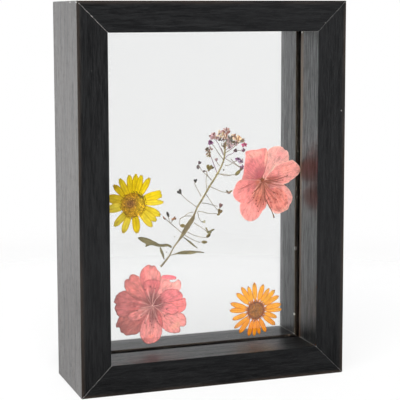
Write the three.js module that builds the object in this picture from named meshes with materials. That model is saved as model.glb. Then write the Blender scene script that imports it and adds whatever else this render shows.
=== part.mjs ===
// A small free-standing floating frame: four mitred bars hold two clear panes in a groove at mid
// depth, and pressed flowers lie between the panes.
// Millimetres. +X to the right, -Y towards the viewer, +Z up. Origin: middle of the resting face.

import * as THREE from 'three';

// ---- Driving dimensions -------------------------------------------------------------------------

const FRAME_WIDTH = 131;
const FRAME_HEIGHT = 180;
const FRAME_DEPTH = 45;
const FACE_WIDTH = 14.2; // width of a bar's front face
const EDGE_RADIUS = 0.3; // softened long edges of the bars
const MITRE_GAP = 0.12; // glue line, measured along a bar

const GROOVE_FRONT = -2.5; // y of the groove's front wall
const GROOVE_BACK = 4; // and of its back wall, which leaves room behind the panes
const GROOVE_DEPTH = 3.8;
const PANE_THICKNESS = 1;
const PANE_SPACING = 1.2; // room for the specimens between the panes
const PANE_EDGE_GAP = 0.4; // from a pane's edge to the bottom of the groove

const LAYER_PITCH = 0.16; // pressed petals lie in thin layers, layer 0 nearest the front pane
const PETAL_THICKNESS = 0.12;
const MIDDLE_LAYER = 3;
const HEAD_LAYER = 0.5; // daisy discs and the sprig's stem are two layers thick
const HEAD_THICKNESS = 0.28;
const STEM_LAYER = 2.5;
const CALYX_LAYER = 6;

// ---- Materials ----------------------------------------------------------------------------------

function material(color, roughness, options = {}) {
  return new THREE.MeshStandardMaterial({ color, roughness, metalness: 0, ...options });
}

const MATERIALS = {
  foil: material(0x242424, 0.42),
  glass: material(0xf2f5f3, 0.03, { transparent: true, opacity: 0.12 }),
  yellowPetal: material(0xe6cd14, 0.75),
  yellowDisc: material(0xb9822a, 0.9),
  orangeDisc: material(0xa96f40, 0.9),
  pinkPetal: material(0xdf8480, 0.75),
  salmonPetal: material(0xf7928a, 0.75),
  calyx: material(0x8f5f62, 0.85),
  stem: material(0x7d7658, 0.85),
  leaf: material(0x746e52, 0.85),
};

// ---- Frame --------------------------------------------------------------------------------------

// Section of a bar. x runs from the outer face (0) to the inner face (FACE_WIDTH), y over the depth.
function barSection() {
  const r = EDGE_RADIUS;
  const back = FRAME_DEPTH / 2;
  const inner = FACE_WIDTH;
  const grooveFloor = FACE_WIDTH - GROOVE_DEPTH;
  const s = new THREE.Shape();
  s.moveTo(0, -back + r);
  s.absarc(r, -back + r, r, Math.PI, 1.5 * Math.PI);
  s.absarc(inner - r, -back + r, r, 1.5 * Math.PI, 2 * Math.PI);
  s.lineTo(inner, GROOVE_FRONT);
  s.lineTo(grooveFloor, GROOVE_FRONT);
  s.lineTo(grooveFloor, GROOVE_BACK);
  s.lineTo(inner, GROOVE_BACK);
  s.absarc(inner - r, back - r, r, 0, 0.5 * Math.PI);
  s.absarc(r, back - r, r, 0.5 * Math.PI, Math.PI);
  s.closePath();
  return s;
}

// A bar along x, its outer face on z = 0 and its inner face at z = FACE_WIDTH. The ends of the plain
// extrusion are sheared towards each other by the height above the outer face, which makes 45 degree
// mitres.
function mitredBar(name, length) {
  const geometry = new THREE.ExtrudeGeometry(barSection(), {
    depth: length,
    bevelEnabled: false,
    curveSegments: 2,
  });
  const p = geometry.attributes.position;
  for (let i = 0; i < p.count; i += 1) {
    const height = p.getX(i);
    const depth = p.getY(i);
    const halfSpan = length / 2 - height - MITRE_GAP;
    p.setXYZ(i, p.getZ(i) > length / 2 ? -halfSpan : halfSpan, depth, height);
  }
  geometry.computeVertexNormals();
  const mesh = new THREE.Mesh(geometry, MATERIALS.foil);
  mesh.name = name;
  return mesh;
}

function frameBars() {
  const group = new THREE.Group();
  const bottom = mitredBar('bottom_rail', FRAME_WIDTH);
  const top = mitredBar('top_rail', FRAME_WIDTH);
  top.rotation.y = Math.PI;
  top.position.z = FRAME_HEIGHT;
  const left = mitredBar('left_stile', FRAME_HEIGHT);
  left.rotation.y = Math.PI / 2;
  left.position.set(-FRAME_WIDTH / 2, 0, FRAME_HEIGHT / 2);
  const right = mitredBar('right_stile', FRAME_HEIGHT);
  right.rotation.y = -Math.PI / 2;
  right.position.set(FRAME_WIDTH / 2, 0, FRAME_HEIGHT / 2);
  group.add(left, right, top, bottom);
  return group;
}

function pane(name, side) {
  const inset = 2 * (FACE_WIDTH - GROOVE_DEPTH + PANE_EDGE_GAP);
  const geometry = new THREE.BoxGeometry(FRAME_WIDTH - inset, PANE_THICKNESS, FRAME_HEIGHT - inset);
  const mesh = new THREE.Mesh(geometry, MATERIALS.glass);
  mesh.name = name;
  mesh.position.set(0, (side * (PANE_SPACING + PANE_THICKNESS)) / 2, FRAME_HEIGHT / 2);
  return mesh;
}

// ---- Pressed pieces -----------------------------------------------------------------------------

// A flat piece cut to an outline of [x, z] points, centred on its layer between the panes.
function flatPiece(name, outline, layer, slot, thickness = PETAL_THICKNESS) {
  const shape = new THREE.Shape(outline.map(([x, z]) => new THREE.Vector2(x, z)));
  const geometry = new THREE.ExtrudeGeometry(shape, { depth: thickness, bevelEnabled: false });
  geometry.rotateX(Math.PI / 2);
  geometry.translate(0, (layer - MIDDLE_LAYER) * LAYER_PITCH + thickness / 2, 0);
  const mesh = new THREE.Mesh(geometry, MATERIALS[slot]);
  mesh.name = name;
  return mesh;
}

// Rounds off a closed outline given by a few points.
function roundedOutline(points, stepsPerPoint = 2) {
  const curve = new THREE.CatmullRomCurve3(
    points.map(([x, z]) => new THREE.Vector3(x, 0, z)),
    true,
    'centripetal',
  );
  return curve
    .getPoints(points.length * stepsPerPoint)
    .slice(0, -1)
    .map((v) => [v.x, v.z]);
}

// A ribbon along a smooth spine of [x, z, half width] points, such as a stem, leaf or ray.
function ribbonOutline(spine, stepsPerPoint = 2) {
  const curve = new THREE.CatmullRomCurve3(
    spine.map(([x, z, half]) => new THREE.Vector3(x, z, half)),
    false,
    'centripetal',
  );
  const steps = (spine.length - 1) * stepsPerPoint;
  const left = [];
  const right = [];
  for (let i = 0; i <= steps; i += 1) {
    const at = curve.getPoint(i / steps);
    const along = curve.getTangent(i / steps);
    const length = Math.hypot(along.x, along.y);
    const nx = (-along.y / length) * at.z;
    const nz = (along.x / length) * at.z;
    left.push([at.x + nx, at.y + nz]);
    right.push([at.x - nx, at.y - nz]);
  }
  return left.concat(right.reverse());
}

function degrees(angle) {
  return (angle * Math.PI) / 180;
}

// ---- Daisies ------------------------------------------------------------------------------------

const YELLOW_DAISY = { name: 'yellow_daisy', x: -33.7, z: 84.7, discX: 5.9, discZ: 5.8 };
const ORANGE_DAISY = { name: 'orange_daisy', x: 28.8, z: 28.9, discX: 4.5, discZ: 4.4 };
const RAY_START = 3.6; // the rays begin under the disc
const RAY_LAYERS = 3;
const FIRST_RAY_LAYER = 2;
const INVOLUCRE_LAYER = 5.5;

// Rays of the yellow daisy, in order round the disc: the angles of root and tip, the reach from the
// centre, the width, and how full the tip is.
const YELLOW_RAYS = [
  { root: 223, tip: 226, reach: 13.6, width: 3.8 },
  { root: 247, tip: 249, reach: 14.3, width: 3.9 },
  { root: 282, tip: 278, reach: 14, width: 4.4 },
  { root: 313, tip: 310, reach: 14.5, width: 3.8 },
  { root: 331, tip: 324, reach: 14.3, width: 3.9 },
  { root: 346, tip: 337, reach: 14.9, width: 4.2 },
  { root: 11, tip: 2, reach: 15.1, width: 3.2 },
  { root: 30, tip: 18.5, reach: 15, width: 5.1, fullness: 0.75 },
  { root: 50, tip: 56, reach: 15.1, width: 3.7 },
  { root: 70, tip: 73, reach: 14.8, width: 3.6 },
  { root: 85, tip: 84, reach: 14.9, width: 3.4 },
  { root: 102, tip: 97, reach: 14.6, width: 3.6 },
  { root: 118, tip: 117, reach: 14.5, width: 3.6 },
  { root: 130, tip: 134, reach: 13.9, width: 3.5 },
  { root: 154, tip: 162, reach: 13.4, width: 5.3 },
  { root: 183, tip: 187, reach: 13.2, width: 5 },
];

const RAY_TIP_FULLNESS = 0.3;

// Half width of a ray at shares of its length, as a share of its largest half width.
function rayProfile(fullness) {
  return [
    [0, 0.5],
    [0.3, 0.88],
    [0.6, 1],
    [0.86, 0.65 + fullness / 3],
    [1, fullness],
  ];
}

function rayOutline(daisy, { root, tip, reach, width, fullness = RAY_TIP_FULLNESS }) {
  const from = [RAY_START * Math.cos(degrees(root)), RAY_START * Math.sin(degrees(root))];
  const to = [reach * Math.cos(degrees(tip)), reach * Math.sin(degrees(tip))];
  const spine = rayProfile(fullness).map(([share, half]) => [
    daisy.x + THREE.MathUtils.lerp(from[0], to[0], share),
    daisy.z + THREE.MathUtils.lerp(from[1], to[1], share),
    (half * width) / 2,
  ]);
  return ribbonOutline(spine);
}

function ellipseOutline(daisy, scale, corners) {
  const outline = [];
  for (let i = 0; i < corners; i += 1) {
    const a = (2 * Math.PI * i) / corners;
    outline.push([daisy.x + scale * daisy.discX * Math.cos(a), daisy.z + scale * daisy.discZ * Math.sin(a)]);
  }
  return outline;
}

// The ring of pointed bracts behind the rays.
function bractOutline(daisy, bracts) {
  const outline = [];
  for (let i = 0; i < 2 * bracts; i += 1) {
    const a = (Math.PI * i) / bracts;
    const r = i % 2 === 0 ? daisy.discX * 1.12 : daisy.discX * 0.86;
    outline.push([daisy.x + r * Math.cos(a), daisy.z + r * Math.sin(a)]);
  }
  return outline;
}

function daisyHead(daisy, slot) {
  const group = new THREE.Group();
  group.add(
    flatPiece(`${daisy.name}_disc`, ellipseOutline(daisy, 1, 32), HEAD_LAYER, slot, HEAD_THICKNESS),
    flatPiece(`${daisy.name}_involucre`, bractOutline(daisy, 13), INVOLUCRE_LAYER, 'leaf'),
  );
  return group;
}

function yellowDaisy() {
  const group = daisyHead(YELLOW_DAISY, 'yellowDisc');
  YELLOW_RAYS.forEach((ray, i) => {
    const name = `yellow_daisy_ray_${String(i + 1).padStart(2, '0')}`;
    const layer = FIRST_RAY_LAYER + (i % RAY_LAYERS);
    group.add(flatPiece(name, rayOutline(YELLOW_DAISY, ray), layer, 'yellowPetal'));
  });
  return group;
}

// ---- Blossoms -----------------------------------------------------------------------------------

// Each petal: its layer, and its outline as [x, z] from the middle of the blossom.
const LOWER_BLOSSOM = { x: -24.8, z: 35.4 };
const LOWER_PETALS = {
  top: {
    layer: 5,
    outline: [
      [-0.7, 1], [-2.4, 5.8], [-4.7, 9.6], [-5.8, 13.6], [-5.5, 16.4], [-3.8, 18.7], [-1.2, 20.1],
      [0.4, 19.3], [1.4, 19.6], [3, 17.5], [4.4, 15.6], [4.7, 13.2], [3.7, 9.6], [1.9, 4.9], [0.7, 1],
    ],
  },
  upper_right: {
    layer: 4,
    outline: [
      [0.5, 0.8], [2.8, 6.6], [4.3, 11], [4.7, 13.7], [6, 14.5], [9.2, 14.3], [12.4, 13.2], [12.1, 12.1],
      [9.1, 12], [9.2, 11.1], [11.6, 10.8], [13.5, 11.8], [14.8, 10.2], [14.6, 7.4], [12.4, 4.7],
      [8, 2.8], [3.6, 0.8],
    ],
  },
  right_high: {
    layer: 3,
    outline: [
      [1, 0.5], [3.9, 4.2], [6.6, 7.1], [10.1, 7.6], [13.3, 6.6], [15.3, 4.8], [15.7, 3.3], [14.9, 2],
      [11.5, 1.4], [7.4, 1.1], [3.9, 0.2],
    ],
  },
  right: {
    layer: 5,
    outline: [
      [1.3, 0], [4.5, 1.3], [8.9, 1.7], [13.3, 1.8], [15.2, 2.4], [16.7, 2.7], [17.6, 0.3], [17.2, -2.5],
      [15.5, -4.1], [11.5, -5], [6.8, -4.1], [3.6, -2.6], [1.3, -0.8],
    ],
  },
  lower_right: {
    layer: 4,
    outline: [
      [1, -0.4], [3.9, -1.9], [7.4, -3], [11.8, -4.2], [15, -4.7], [16.8, -6.2], [17.5, -8.8],
      [17.2, -10.6], [16.5, -11.4], [14.9, -11.2], [14.1, -11.8], [14.5, -13.6], [13.2, -14.3],
      [10, -14.2], [7.3, -13], [5, -10.9], [3.6, -7.4], [1.9, -3.8],
    ],
  },
  bottom: {
    layer: 3,
    outline: [
      [0.6, -1.5], [2.1, -4.4], [3.6, -7.7], [5, -10.9], [5.2, -12.9], [4.4, -15.4], [2.8, -17.4],
      [-0.3, -18.4], [-2.3, -18.5], [-4.3, -17.1], [-5.9, -14.2], [-6.1, -11.1], [-5, -7.5],
      [-3.1, -4.3], [-0.7, -1.4],
    ],
  },
  lower_left: {
    layer: 5,
    outline: [
      [-0.4, -1.4], [-2.5, -4.9], [-4.5, -9], [-6.6, -12.7], [-8.6, -13.4], [-10.9, -13.4],
      [-12.6, -13.6], [-14.2, -12.2], [-15.2, -11.9], [-16.3, -9.2], [-17.8, -9], [-17.1, -6.5],
      [-16.3, -4.3], [-13.7, -3.4], [-9.4, -2.9], [-4.8, -1.9], [-1, -0.9],
    ],
  },
  left: {
    layer: 4,
    outline: [
      [-1, -0.5], [-4.8, -1.3], [-8.8, -2.1], [-12.8, -4], [-16.3, -3.9], [-17.7, -2], [-18.3, 0],
      [-18.1, 1.4], [-17.5, 2.2], [-18.8, 3], [-18.5, 4.5], [-17.4, 6.7], [-15.3, 7.9], [-13, 8.2],
      [-9.3, 6.2], [-4.7, 3.9], [-1.6, 1.2],
    ],
  },
  upper_left: {
    layer: 3,
    outline: [
      [-0.7, 0.6], [-4.7, 3.2], [-9.3, 4.9], [-12.4, 7.7], [-13.4, 10], [-13.5, 12.2], [-12.7, 13.9],
      [-11.2, 14], [-10.9, 15.4], [-9.2, 16.1], [-7.5, 15.4], [-6.1, 14.2], [-4.7, 10.2], [-3, 5.9],
    ],
  },
  inner_top: {
    layer: 2,
    outline: [
      [-1, 1.2], [-3.6, 7], [-4.1, 11], [-2.9, 12.5], [-0.6, 12.9], [2.3, 12.5], [4.3, 11.5],
      [3.7, 8.2], [1.9, 4.4], [1, 1],
    ],
  },
  inner_right: {
    layer: 2,
    outline: [
      [1.3, 0], [4.5, 1.1], [9.5, 0.5], [12.4, -1.5], [13.3, -3.9], [10.3, -5.1], [6.8, -3.9],
      [3.6, -2.3],
    ],
  },
  inner_bottom: {
    layer: 2,
    outline: [
      [0.7, -1.2], [3.6, -3.1], [5, -6.6], [5.3, -10.6], [3.6, -9.6], [1.8, -6.7], [0.4, -4],
    ],
  },
  inner_left: {
    layer: 2,
    outline: [
      [-0.7, -0.8], [-4.8, -1], [-8.8, -1.6], [-11.4, -2.8], [-12.3, -4.6], [-9.4, -6.6], [-5.4, -5.8],
      [-2.5, -3.8],
    ],
  },
};

const UPPER_BLOSSOM = { x: 32.5, z: 93.7 };
const UPPER_PETALS = {
  upper_left: {
    layer: 4,
    outline: [
      [-0.9, 0.6], [1.1, 4.3], [2.5, 9.9], [2.5, 13.4], [1.5, 15.3], [-3, 14.8], [-9, 14], [-9.1, 11.7],
      [-9.7, 7.7], [-10.3, 3.2], [-11, 0], [-7.8, -1.5], [-3.8, -1.2],
    ],
  },
  upper_right: {
    layer: 5,
    outline: [
      [0, 0.8], [1.7, 6.4], [2.5, 11.2], [2.8, 14.2], [5.1, 15.7], [8, 16.1], [10.4, 15.5], [11.3, 14.3],
      [12.7, 13.8], [13.6, 12.2], [13.8, 9.4], [12.8, 6.8], [8.7, 3.4], [4.1, 0.9],
    ],
  },
  right: {
    layer: 4,
    outline: [
      [1.2, 0.5], [4.6, 4.1], [7.5, 6.7], [10.4, 7.9], [13.4, 8.5], [15.4, 9], [17.5, 7.7], [19.3, 5.7],
      [20, 3.9], [18.7, 1.6], [15.5, -0.8], [13.2, -2.2], [10.2, -2.9], [7.3, -2.5], [4.1, -1.3],
    ],
  },
  lower_right: {
    layer: 5,
    outline: [
      [1.2, 0.2], [4.7, -0.4], [7.6, -1.4], [10.5, -2.6], [13.5, -4.9], [15.3, -7.8], [15.9, -10],
      [15.3, -11.9], [14.2, -13.5], [13.4, -15.4], [11.2, -16.4], [8.9, -17.2], [6.5, -17.1],
      [4.8, -15.7], [3, -13.5], [1.5, -9.3], [0.3, -4.9],
    ],
  },
  inner_right: {
    layer: 3,
    outline: [
      [0.9, -1.1], [4.1, -4], [7.3, -3.9], [10.5, -5.4], [12.9, -8.2], [13.5, -11.3], [12.7, -14],
      [10.3, -15.5], [7.7, -15.9], [5.1, -14.9], [2.7, -12.9], [1.5, -10.4], [0.6, -6.5], [0.3, -3.5],
    ],
  },
  bottom: {
    layer: 4,
    outline: [
      [0, -1.4], [1.5, -4.9], [2.4, -10.4], [1.3, -14.2], [-0.2, -15.5], [-2.2, -18.4], [-4.8, -20.1],
      [-7.4, -20.2], [-9.7, -18.8], [-11.5, -16.2], [-12.1, -13.5], [-11.8, -11.3], [-9.2, -9.8],
      [-6.3, -7.3], [-4.3, -4.1], [-1.7, -1.5],
    ],
  },
  left: {
    layer: 3,
    outline: [
      [-1.2, -0.5], [-3.7, -4.7], [-5.2, -9], [-7.5, -11.3], [-9.8, -11.6], [-12.9, -10.2],
      [-14.9, -8.5], [-15.7, -5.7], [-14.7, -2.8], [-13.3, -0.5], [-11.5, 0.5], [-7.8, 0.4],
      [-4.1, 0.2],
    ],
  },
};

// Stars of sepals behind the petals.
const LOWER_CALYX = [
  [0, 5.1], [1, 2.2], [3.9, 4.2], [3.1, 0.9], [5.4, -0.4], [3, -1.7], [3.9, -4.8], [1, -2.3], [0.4, -6],
  [-1, -2.2], [-3.6, -2.5], [-1.9, 0.1], [-3.9, 2], [-1, 1.8],
];
const UPPER_CALYX = [
  [-3.3, 3.4], [-1, 4.9], [0.6, 2.6], [3.4, 2.2], [2.8, 0.2], [4.2, -1.6], [1.6, -2.2], [-1, -1.8],
  [-4, -2.8], [-3.4, -0.6], [-5, 0.6], [-3.4, 1.6],
];
const PISTIL_LAYER = 1;
// Spine of the style, as [x, z, half width] from the middle of the upper blossom.
const PISTIL = [
  [0, -4, 0.16], [1.2, -9.3, 0.18], [3, -12.9, 0.18], [4.8, -16.3, 0.2], [5.6, -18.4, 0.3],
  [5.8, -19.2, 0.34],
];

function placed(blossom, points) {
  return points.map(([x, z, ...rest]) => [x + blossom.x, z + blossom.z, ...rest]);
}

function blossom(name, place, petals, slot, calyx) {
  const group = new THREE.Group();
  for (const [petal, { layer, outline }] of Object.entries(petals)) {
    group.add(flatPiece(`${name}_petal_${petal}`, roundedOutline(placed(place, outline)), layer, slot));
  }
  group.add(flatPiece(`${name}_calyx`, placed(place, calyx), CALYX_LAYER, 'calyx'));
  return group;
}

function blossoms() {
  const group = new THREE.Group();
  group.add(
    blossom('lower_blossom', LOWER_BLOSSOM, LOWER_PETALS, 'pinkPetal', LOWER_CALYX),
    blossom('upper_blossom', UPPER_BLOSSOM, UPPER_PETALS, 'salmonPetal', UPPER_CALYX),
  );
  const pistil = ribbonOutline(placed(UPPER_BLOSSOM, PISTIL));
  group.add(flatPiece('upper_blossom_pistil', pistil, PISTIL_LAYER, 'calyx'));
  return group;
}

// ---- Sprig --------------------------------------------------------------------------------------

// Spines as [x, z, half width].
const SPRIG_STEM = [
  [-20.2, 54.1, 0.5], [-15.8, 59.2, 0.36], [-13.9, 62.7, 0.32], [-11.4, 65.9, 0.4], [-9.4, 68.5, 0.7],
  [-7.7, 71.1, 1.05], [-5.9, 73.8, 1.1], [-4, 76.4, 0.9], [-3.1, 78.4, 0.42], [-1.6, 81.8, 0.4],
  [0.9, 85.6, 0.36], [4.8, 91.8, 0.34], [8.2, 96.7, 0.32], [10.8, 101.2, 0.3], [12.1, 104.6, 0.3],
  [12.6, 108.4, 0.28], [12.9, 113, 0.2],
];
// The broad leaf has a small lobe on its lower edge, so it is drawn as an outline.
const BROAD_LEAF = [
  [-14.4, 63.3], [-15.5, 64.4], [-17, 65], [-18.6, 65], [-20.6, 65.1], [-22.5, 66.2], [-24.4, 67.2],
  [-26.3, 68.2], [-28.7, 68.9], [-30.8, 69.1], [-31.5, 68.7], [-29.2, 66.6], [-27.4, 65.4],
  [-28, 64.2], [-26.1, 64.6], [-24.4, 64.8], [-22.5, 64.1], [-20.6, 63.8], [-18.1, 63.6],
  [-16.5, 63.7], [-15, 62.9],
];
const NARROW_LEAVES = [
  [[-18.3, 57.4, 0.12], [-18.9, 59.6, 0.55], [-19.7, 61.6, 0.6], [-20.3, 63.5, 0.25]],
  [
    [-15.3, 59.2, 0.12], [-12.8, 59.7, 0.25], [-10.2, 60.1, 0.7], [-7.4, 60.1, 0.95], [-4.2, 60, 0.85],
    [-1.6, 60, 0.4], [0.4, 59.8, 0.35], [2.1, 59.4, 0.15],
  ],
  [[-8.6, 67.7, 0.15], [-5.7, 65.4, 0.4], [-3.2, 63.3, 0.4], [-1.3, 61.8, 0.1]],
];
const BROAD_LEAF_LAYER = 4.5;
const NARROW_LEAF_LAYER = 5.5;

function sprig() {
  const group = new THREE.Group();
  group.add(
    flatPiece('sprig_stem', ribbonOutline(SPRIG_STEM), STEM_LAYER, 'stem', HEAD_THICKNESS),
    flatPiece('sprig_leaf_1', roundedOutline(BROAD_LEAF), BROAD_LEAF_LAYER, 'leaf'),
  );
  NARROW_LEAVES.forEach((spine, i) => {
    group.add(flatPiece(`sprig_leaf_${i + 2}`, ribbonOutline(spine), NARROW_LEAF_LAYER, 'leaf'));
  });
  return group;
}

// ---- Whole object -------------------------------------------------------------------------------

const flowerFrame = new THREE.Group();
flowerFrame.add(
  frameBars(),
  pane('front_glass', -1),
  pane('back_glass', 1),
  yellowDaisy(),
  daisyHead(ORANGE_DAISY, 'orangeDisc'),
  blossoms(),
  sprig(),
);

export default flowerFrame;
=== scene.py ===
"""Looks of the pressed flower frame.

The four bars and the two panes keep their CAD meshes and get materials. Each pressed piece is made
again from its CAD outline as a thin curled sheet, and the small parts of the flowers are made here.
Shapes are worked out in millimetres, in the frame's own axes, and turned into metres at the end.
"""

import math
import random

import bpy
import numpy as np
from mathutils import Matrix, Vector, geometry, noise


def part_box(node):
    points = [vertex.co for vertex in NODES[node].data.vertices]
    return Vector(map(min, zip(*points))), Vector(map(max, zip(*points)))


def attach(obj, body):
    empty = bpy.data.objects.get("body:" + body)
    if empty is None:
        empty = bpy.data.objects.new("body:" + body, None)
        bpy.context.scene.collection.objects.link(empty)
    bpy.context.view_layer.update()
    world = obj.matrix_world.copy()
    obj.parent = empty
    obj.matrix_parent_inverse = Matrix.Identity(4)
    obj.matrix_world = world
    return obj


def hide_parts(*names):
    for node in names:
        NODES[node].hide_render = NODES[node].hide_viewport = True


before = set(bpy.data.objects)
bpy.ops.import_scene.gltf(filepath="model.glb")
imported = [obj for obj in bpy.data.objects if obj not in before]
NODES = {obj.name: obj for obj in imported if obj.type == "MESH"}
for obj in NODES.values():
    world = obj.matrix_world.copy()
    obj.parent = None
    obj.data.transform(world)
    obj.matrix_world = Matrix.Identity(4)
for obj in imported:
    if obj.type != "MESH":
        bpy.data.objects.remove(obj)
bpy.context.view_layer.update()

MM = 0.001
BODY = "root"

# ---- Sizes read from the frame ----


def box_mm(node):
    """Lowest and highest corner of a CAD node, in millimetres."""
    low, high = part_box(node)
    return np.array(low) / MM, np.array(high) / MM


HALF_WIDTH = box_mm("right_stile")[1][0]
HEIGHT = box_mm("top_rail")[1][2]
FACE = box_mm("bottom_rail")[1][2]  # width of a bar's face

# ---- Camera, floor and light ----

CAMERA_PLACE = (-0.2037, -0.5669, 0.1733)
CAMERA_YAW = 19.048  # degrees to the right of +Y
CAMERA_PITCH = -6.732
CAMERA_ROLL = -0.225
CAMERA_LENS = 114.01
CAMERA_SHIFT = (0.0393, -0.0875)  # the photo is a square cut out of a taller picture
CAMERA_SENSOR = 36.0
FLOOR_RADIUS = 0.46
FLOOR_FADE = 0.22  # the floor fades into the surroundings from this radius outwards
FLOOR_SIDES = 96
FLOOR_DROP = 0.00002  # how far it lies below the frame's underside, so that they share no plane
FLOOR_COLOR = (0.12, 0.12, 0.12)
FLOOR_GLOW = 0.785  # the light it gives off by itself, which makes it as white as the photo's
FLOOR_MIRRORED = 0.41  # added to it where the floor is only mirrored
FLOOR_PAINTED_SHADOW = -0.12  # a painted shadow: added behind the frame, on the stretch that shows through the panes
BEHIND_START = (0.02, 0.06)  # y between which that stretch begins
BEHIND_LEAN = 0.36  # how far to the right it runs for each step back
BEHIND_HALF = (0.085, 0.065)  # half widths between which it fades in


def add_camera():
    """The camera as solved from the frame's corners in the photo."""
    data = bpy.data.cameras.new("camera")
    data.lens = CAMERA_LENS
    data.sensor_width = CAMERA_SENSOR
    data.shift_x, data.shift_y = CAMERA_SHIFT
    camera = bpy.data.objects.new("camera", data)
    turn = (
        Matrix.Rotation(math.radians(-CAMERA_YAW), 4, "Z")
        @ Matrix.Rotation(math.radians(90 + CAMERA_PITCH), 4, "X")
        @ Matrix.Rotation(math.radians(CAMERA_ROLL), 4, "Z")
    )
    camera.matrix_world = Matrix.Translation(CAMERA_PLACE) @ turn
    bpy.context.scene.collection.objects.link(camera)
    bpy.context.scene.camera = camera


# ---- Node graphs ----


class Graph:
    """Builds a node tree with short calls. A value is a number, a colour or another node's output."""

    def __init__(self, owner):
        owner.use_nodes = True
        self.owner = owner
        self.tree = owner.node_tree
        self.tree.nodes.clear()

    def put(self, socket, value):
        if isinstance(value, bpy.types.NodeSocket):
            self.tree.links.new(value, socket)
        elif isinstance(value, (tuple, list)) and len(value) == 3 and socket.type == "RGBA":
            socket.default_value = (*value, 1)
        else:
            socket.default_value = value

    def node(self, kind, inputs=None, **settings):
        made = self.tree.nodes.new("ShaderNode" + kind)
        for key, value in settings.items():
            setattr(made, key, value)
        for key, value in (inputs or {}).items():
            self.put(made.inputs[key], value)
        return made

    def math(self, operation, *values):
        return self.node("Math", dict(enumerate(values)), operation=operation).outputs[0]

    def add(self, *values):
        total = values[0]
        for value in values[1:]:
            total = self.math("ADD", total, value)
        return total

    def times(self, *values):
        total = values[0]
        for value in values[1:]:
            total = self.math("MULTIPLY", total, value)
        return total

    def away(self, value, centre):
        """How far value is from centre."""
        return self.math("ABSOLUTE", self.math("SUBTRACT", value, centre))

    def swing(self, value, amount):
        """The value, which lies around 0.5, as a number around 0 that is amount times as wide."""
        return self.times(self.math("SUBTRACT", value, 0.5), amount)

    def choose(self, test, no, yes):
        """The number no where test is 0, and yes where it is 1."""
        return self.fade(test, 0, 1, no, yes)

    def fade(self, value, start, end, low=0.0, high=1.0):
        """Goes smoothly from low to high as value goes from start to end. It may run backwards."""
        if start > end:
            start, end, low, high = end, start, high, low
        inputs = {"Value": value, "From Min": start, "From Max": end, "To Min": low, "To Max": high}
        return self.node("MapRange", inputs, interpolation_type="SMOOTHSTEP").outputs["Result"]

    def mix(self, share, a, b, blend="MIX"):
        inputs = {"Factor": share, 6: a, 7: b}
        return self.node("Mix", inputs, data_type="RGBA", blend_type=blend).outputs[2]

    def vector(self, x, y, z):
        return self.node("CombineXYZ", {0: x, 1: y, 2: z}).outputs[0]

    def parts(self, vector):
        return self.node("SeparateXYZ", {0: vector}).outputs

    def place(self):
        """The x, y and z of the shaded point, in millimetres in the frame's axes."""
        coordinates = self.node("TexCoord").outputs["Object"]
        scaled = self.node("VectorMath", {0: coordinates, 3: 1 / MM}, operation="SCALE")
        return self.parts(scaled.outputs[0])

    def noise(self, vector, scale=1.0, detail=2.0, roughness=0.5, distortion=0.0):
        inputs = {
            "Vector": vector,
            "Scale": scale,
            "Detail": detail,
            "Roughness": roughness,
            "Distortion": distortion,
        }
        return self.node("TexNoise", inputs).outputs["Fac"]

    def attribute(self, name):
        return self.node("Attribute", attribute_name=name)

    def finish(self, shader):
        output = self.node("OutputMaterial")
        self.put(output.inputs["Surface"], shader)
        return self.owner


def new_graph(name):
    return Graph(bpy.data.materials.new(name))


# ---- Surroundings ----

SURROUND = 1.0  # brightness of the white surroundings
CEILING = 0.62  # and of the surroundings overhead
CEILING_SPAN = (0.02, 0.5)  # directions z between which the first goes over into the second
DIM_SIDE = Vector((0.15, -0.98, -0.10)).normalized()  # the camera's side of the studio is dim
DIM_LEVELS = (0.01, 0.50)  # its brightness from left to right
DIM_SPAN = (0.22, 0.47)  # directions x between which it goes from the first to the second
PANE_DIM = 0.30  # share of the camera's side that shows in the panes
DIM_EDGE = (0.55, 0.90)  # cosines between which the dim side fades in
KEY_SIDE = Vector((-0.42, -0.80, 0.42)).normalized()  # a wide soft box left of the camera
KEY_LEVEL = 8.5  # its brightness as a light
KEY_MIRRORED = 0.2  # and where it is only mirrored
KEY_EDGE = (0.62, 0.95)
FILL_SIDE = Vector((-0.20, 0.97, -0.05)).normalized()  # a brighter stretch behind and to the left
FILL_LEVEL = 0.62
FILL_EDGE = (0.75, 0.98)
SIDE_CARD = Vector((-0.52, 0.84, -0.20)).normalized()  # a white card far left, only mirrored
SIDE_LEVEL = 0.85
SIDE_EDGE = (0.95, 0.99)
BACK_LEVEL = 0.35  # and a pale screen behind to the right, mirrored in the bottom bar
BACK_SPAN = (0.10, 0.35)  # directions x between which it fades in
BACK_EDGE = (0.80, 0.93)  # and directions y
AHEAD = -0.5  # directions with a smaller y are on the camera's side


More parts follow.
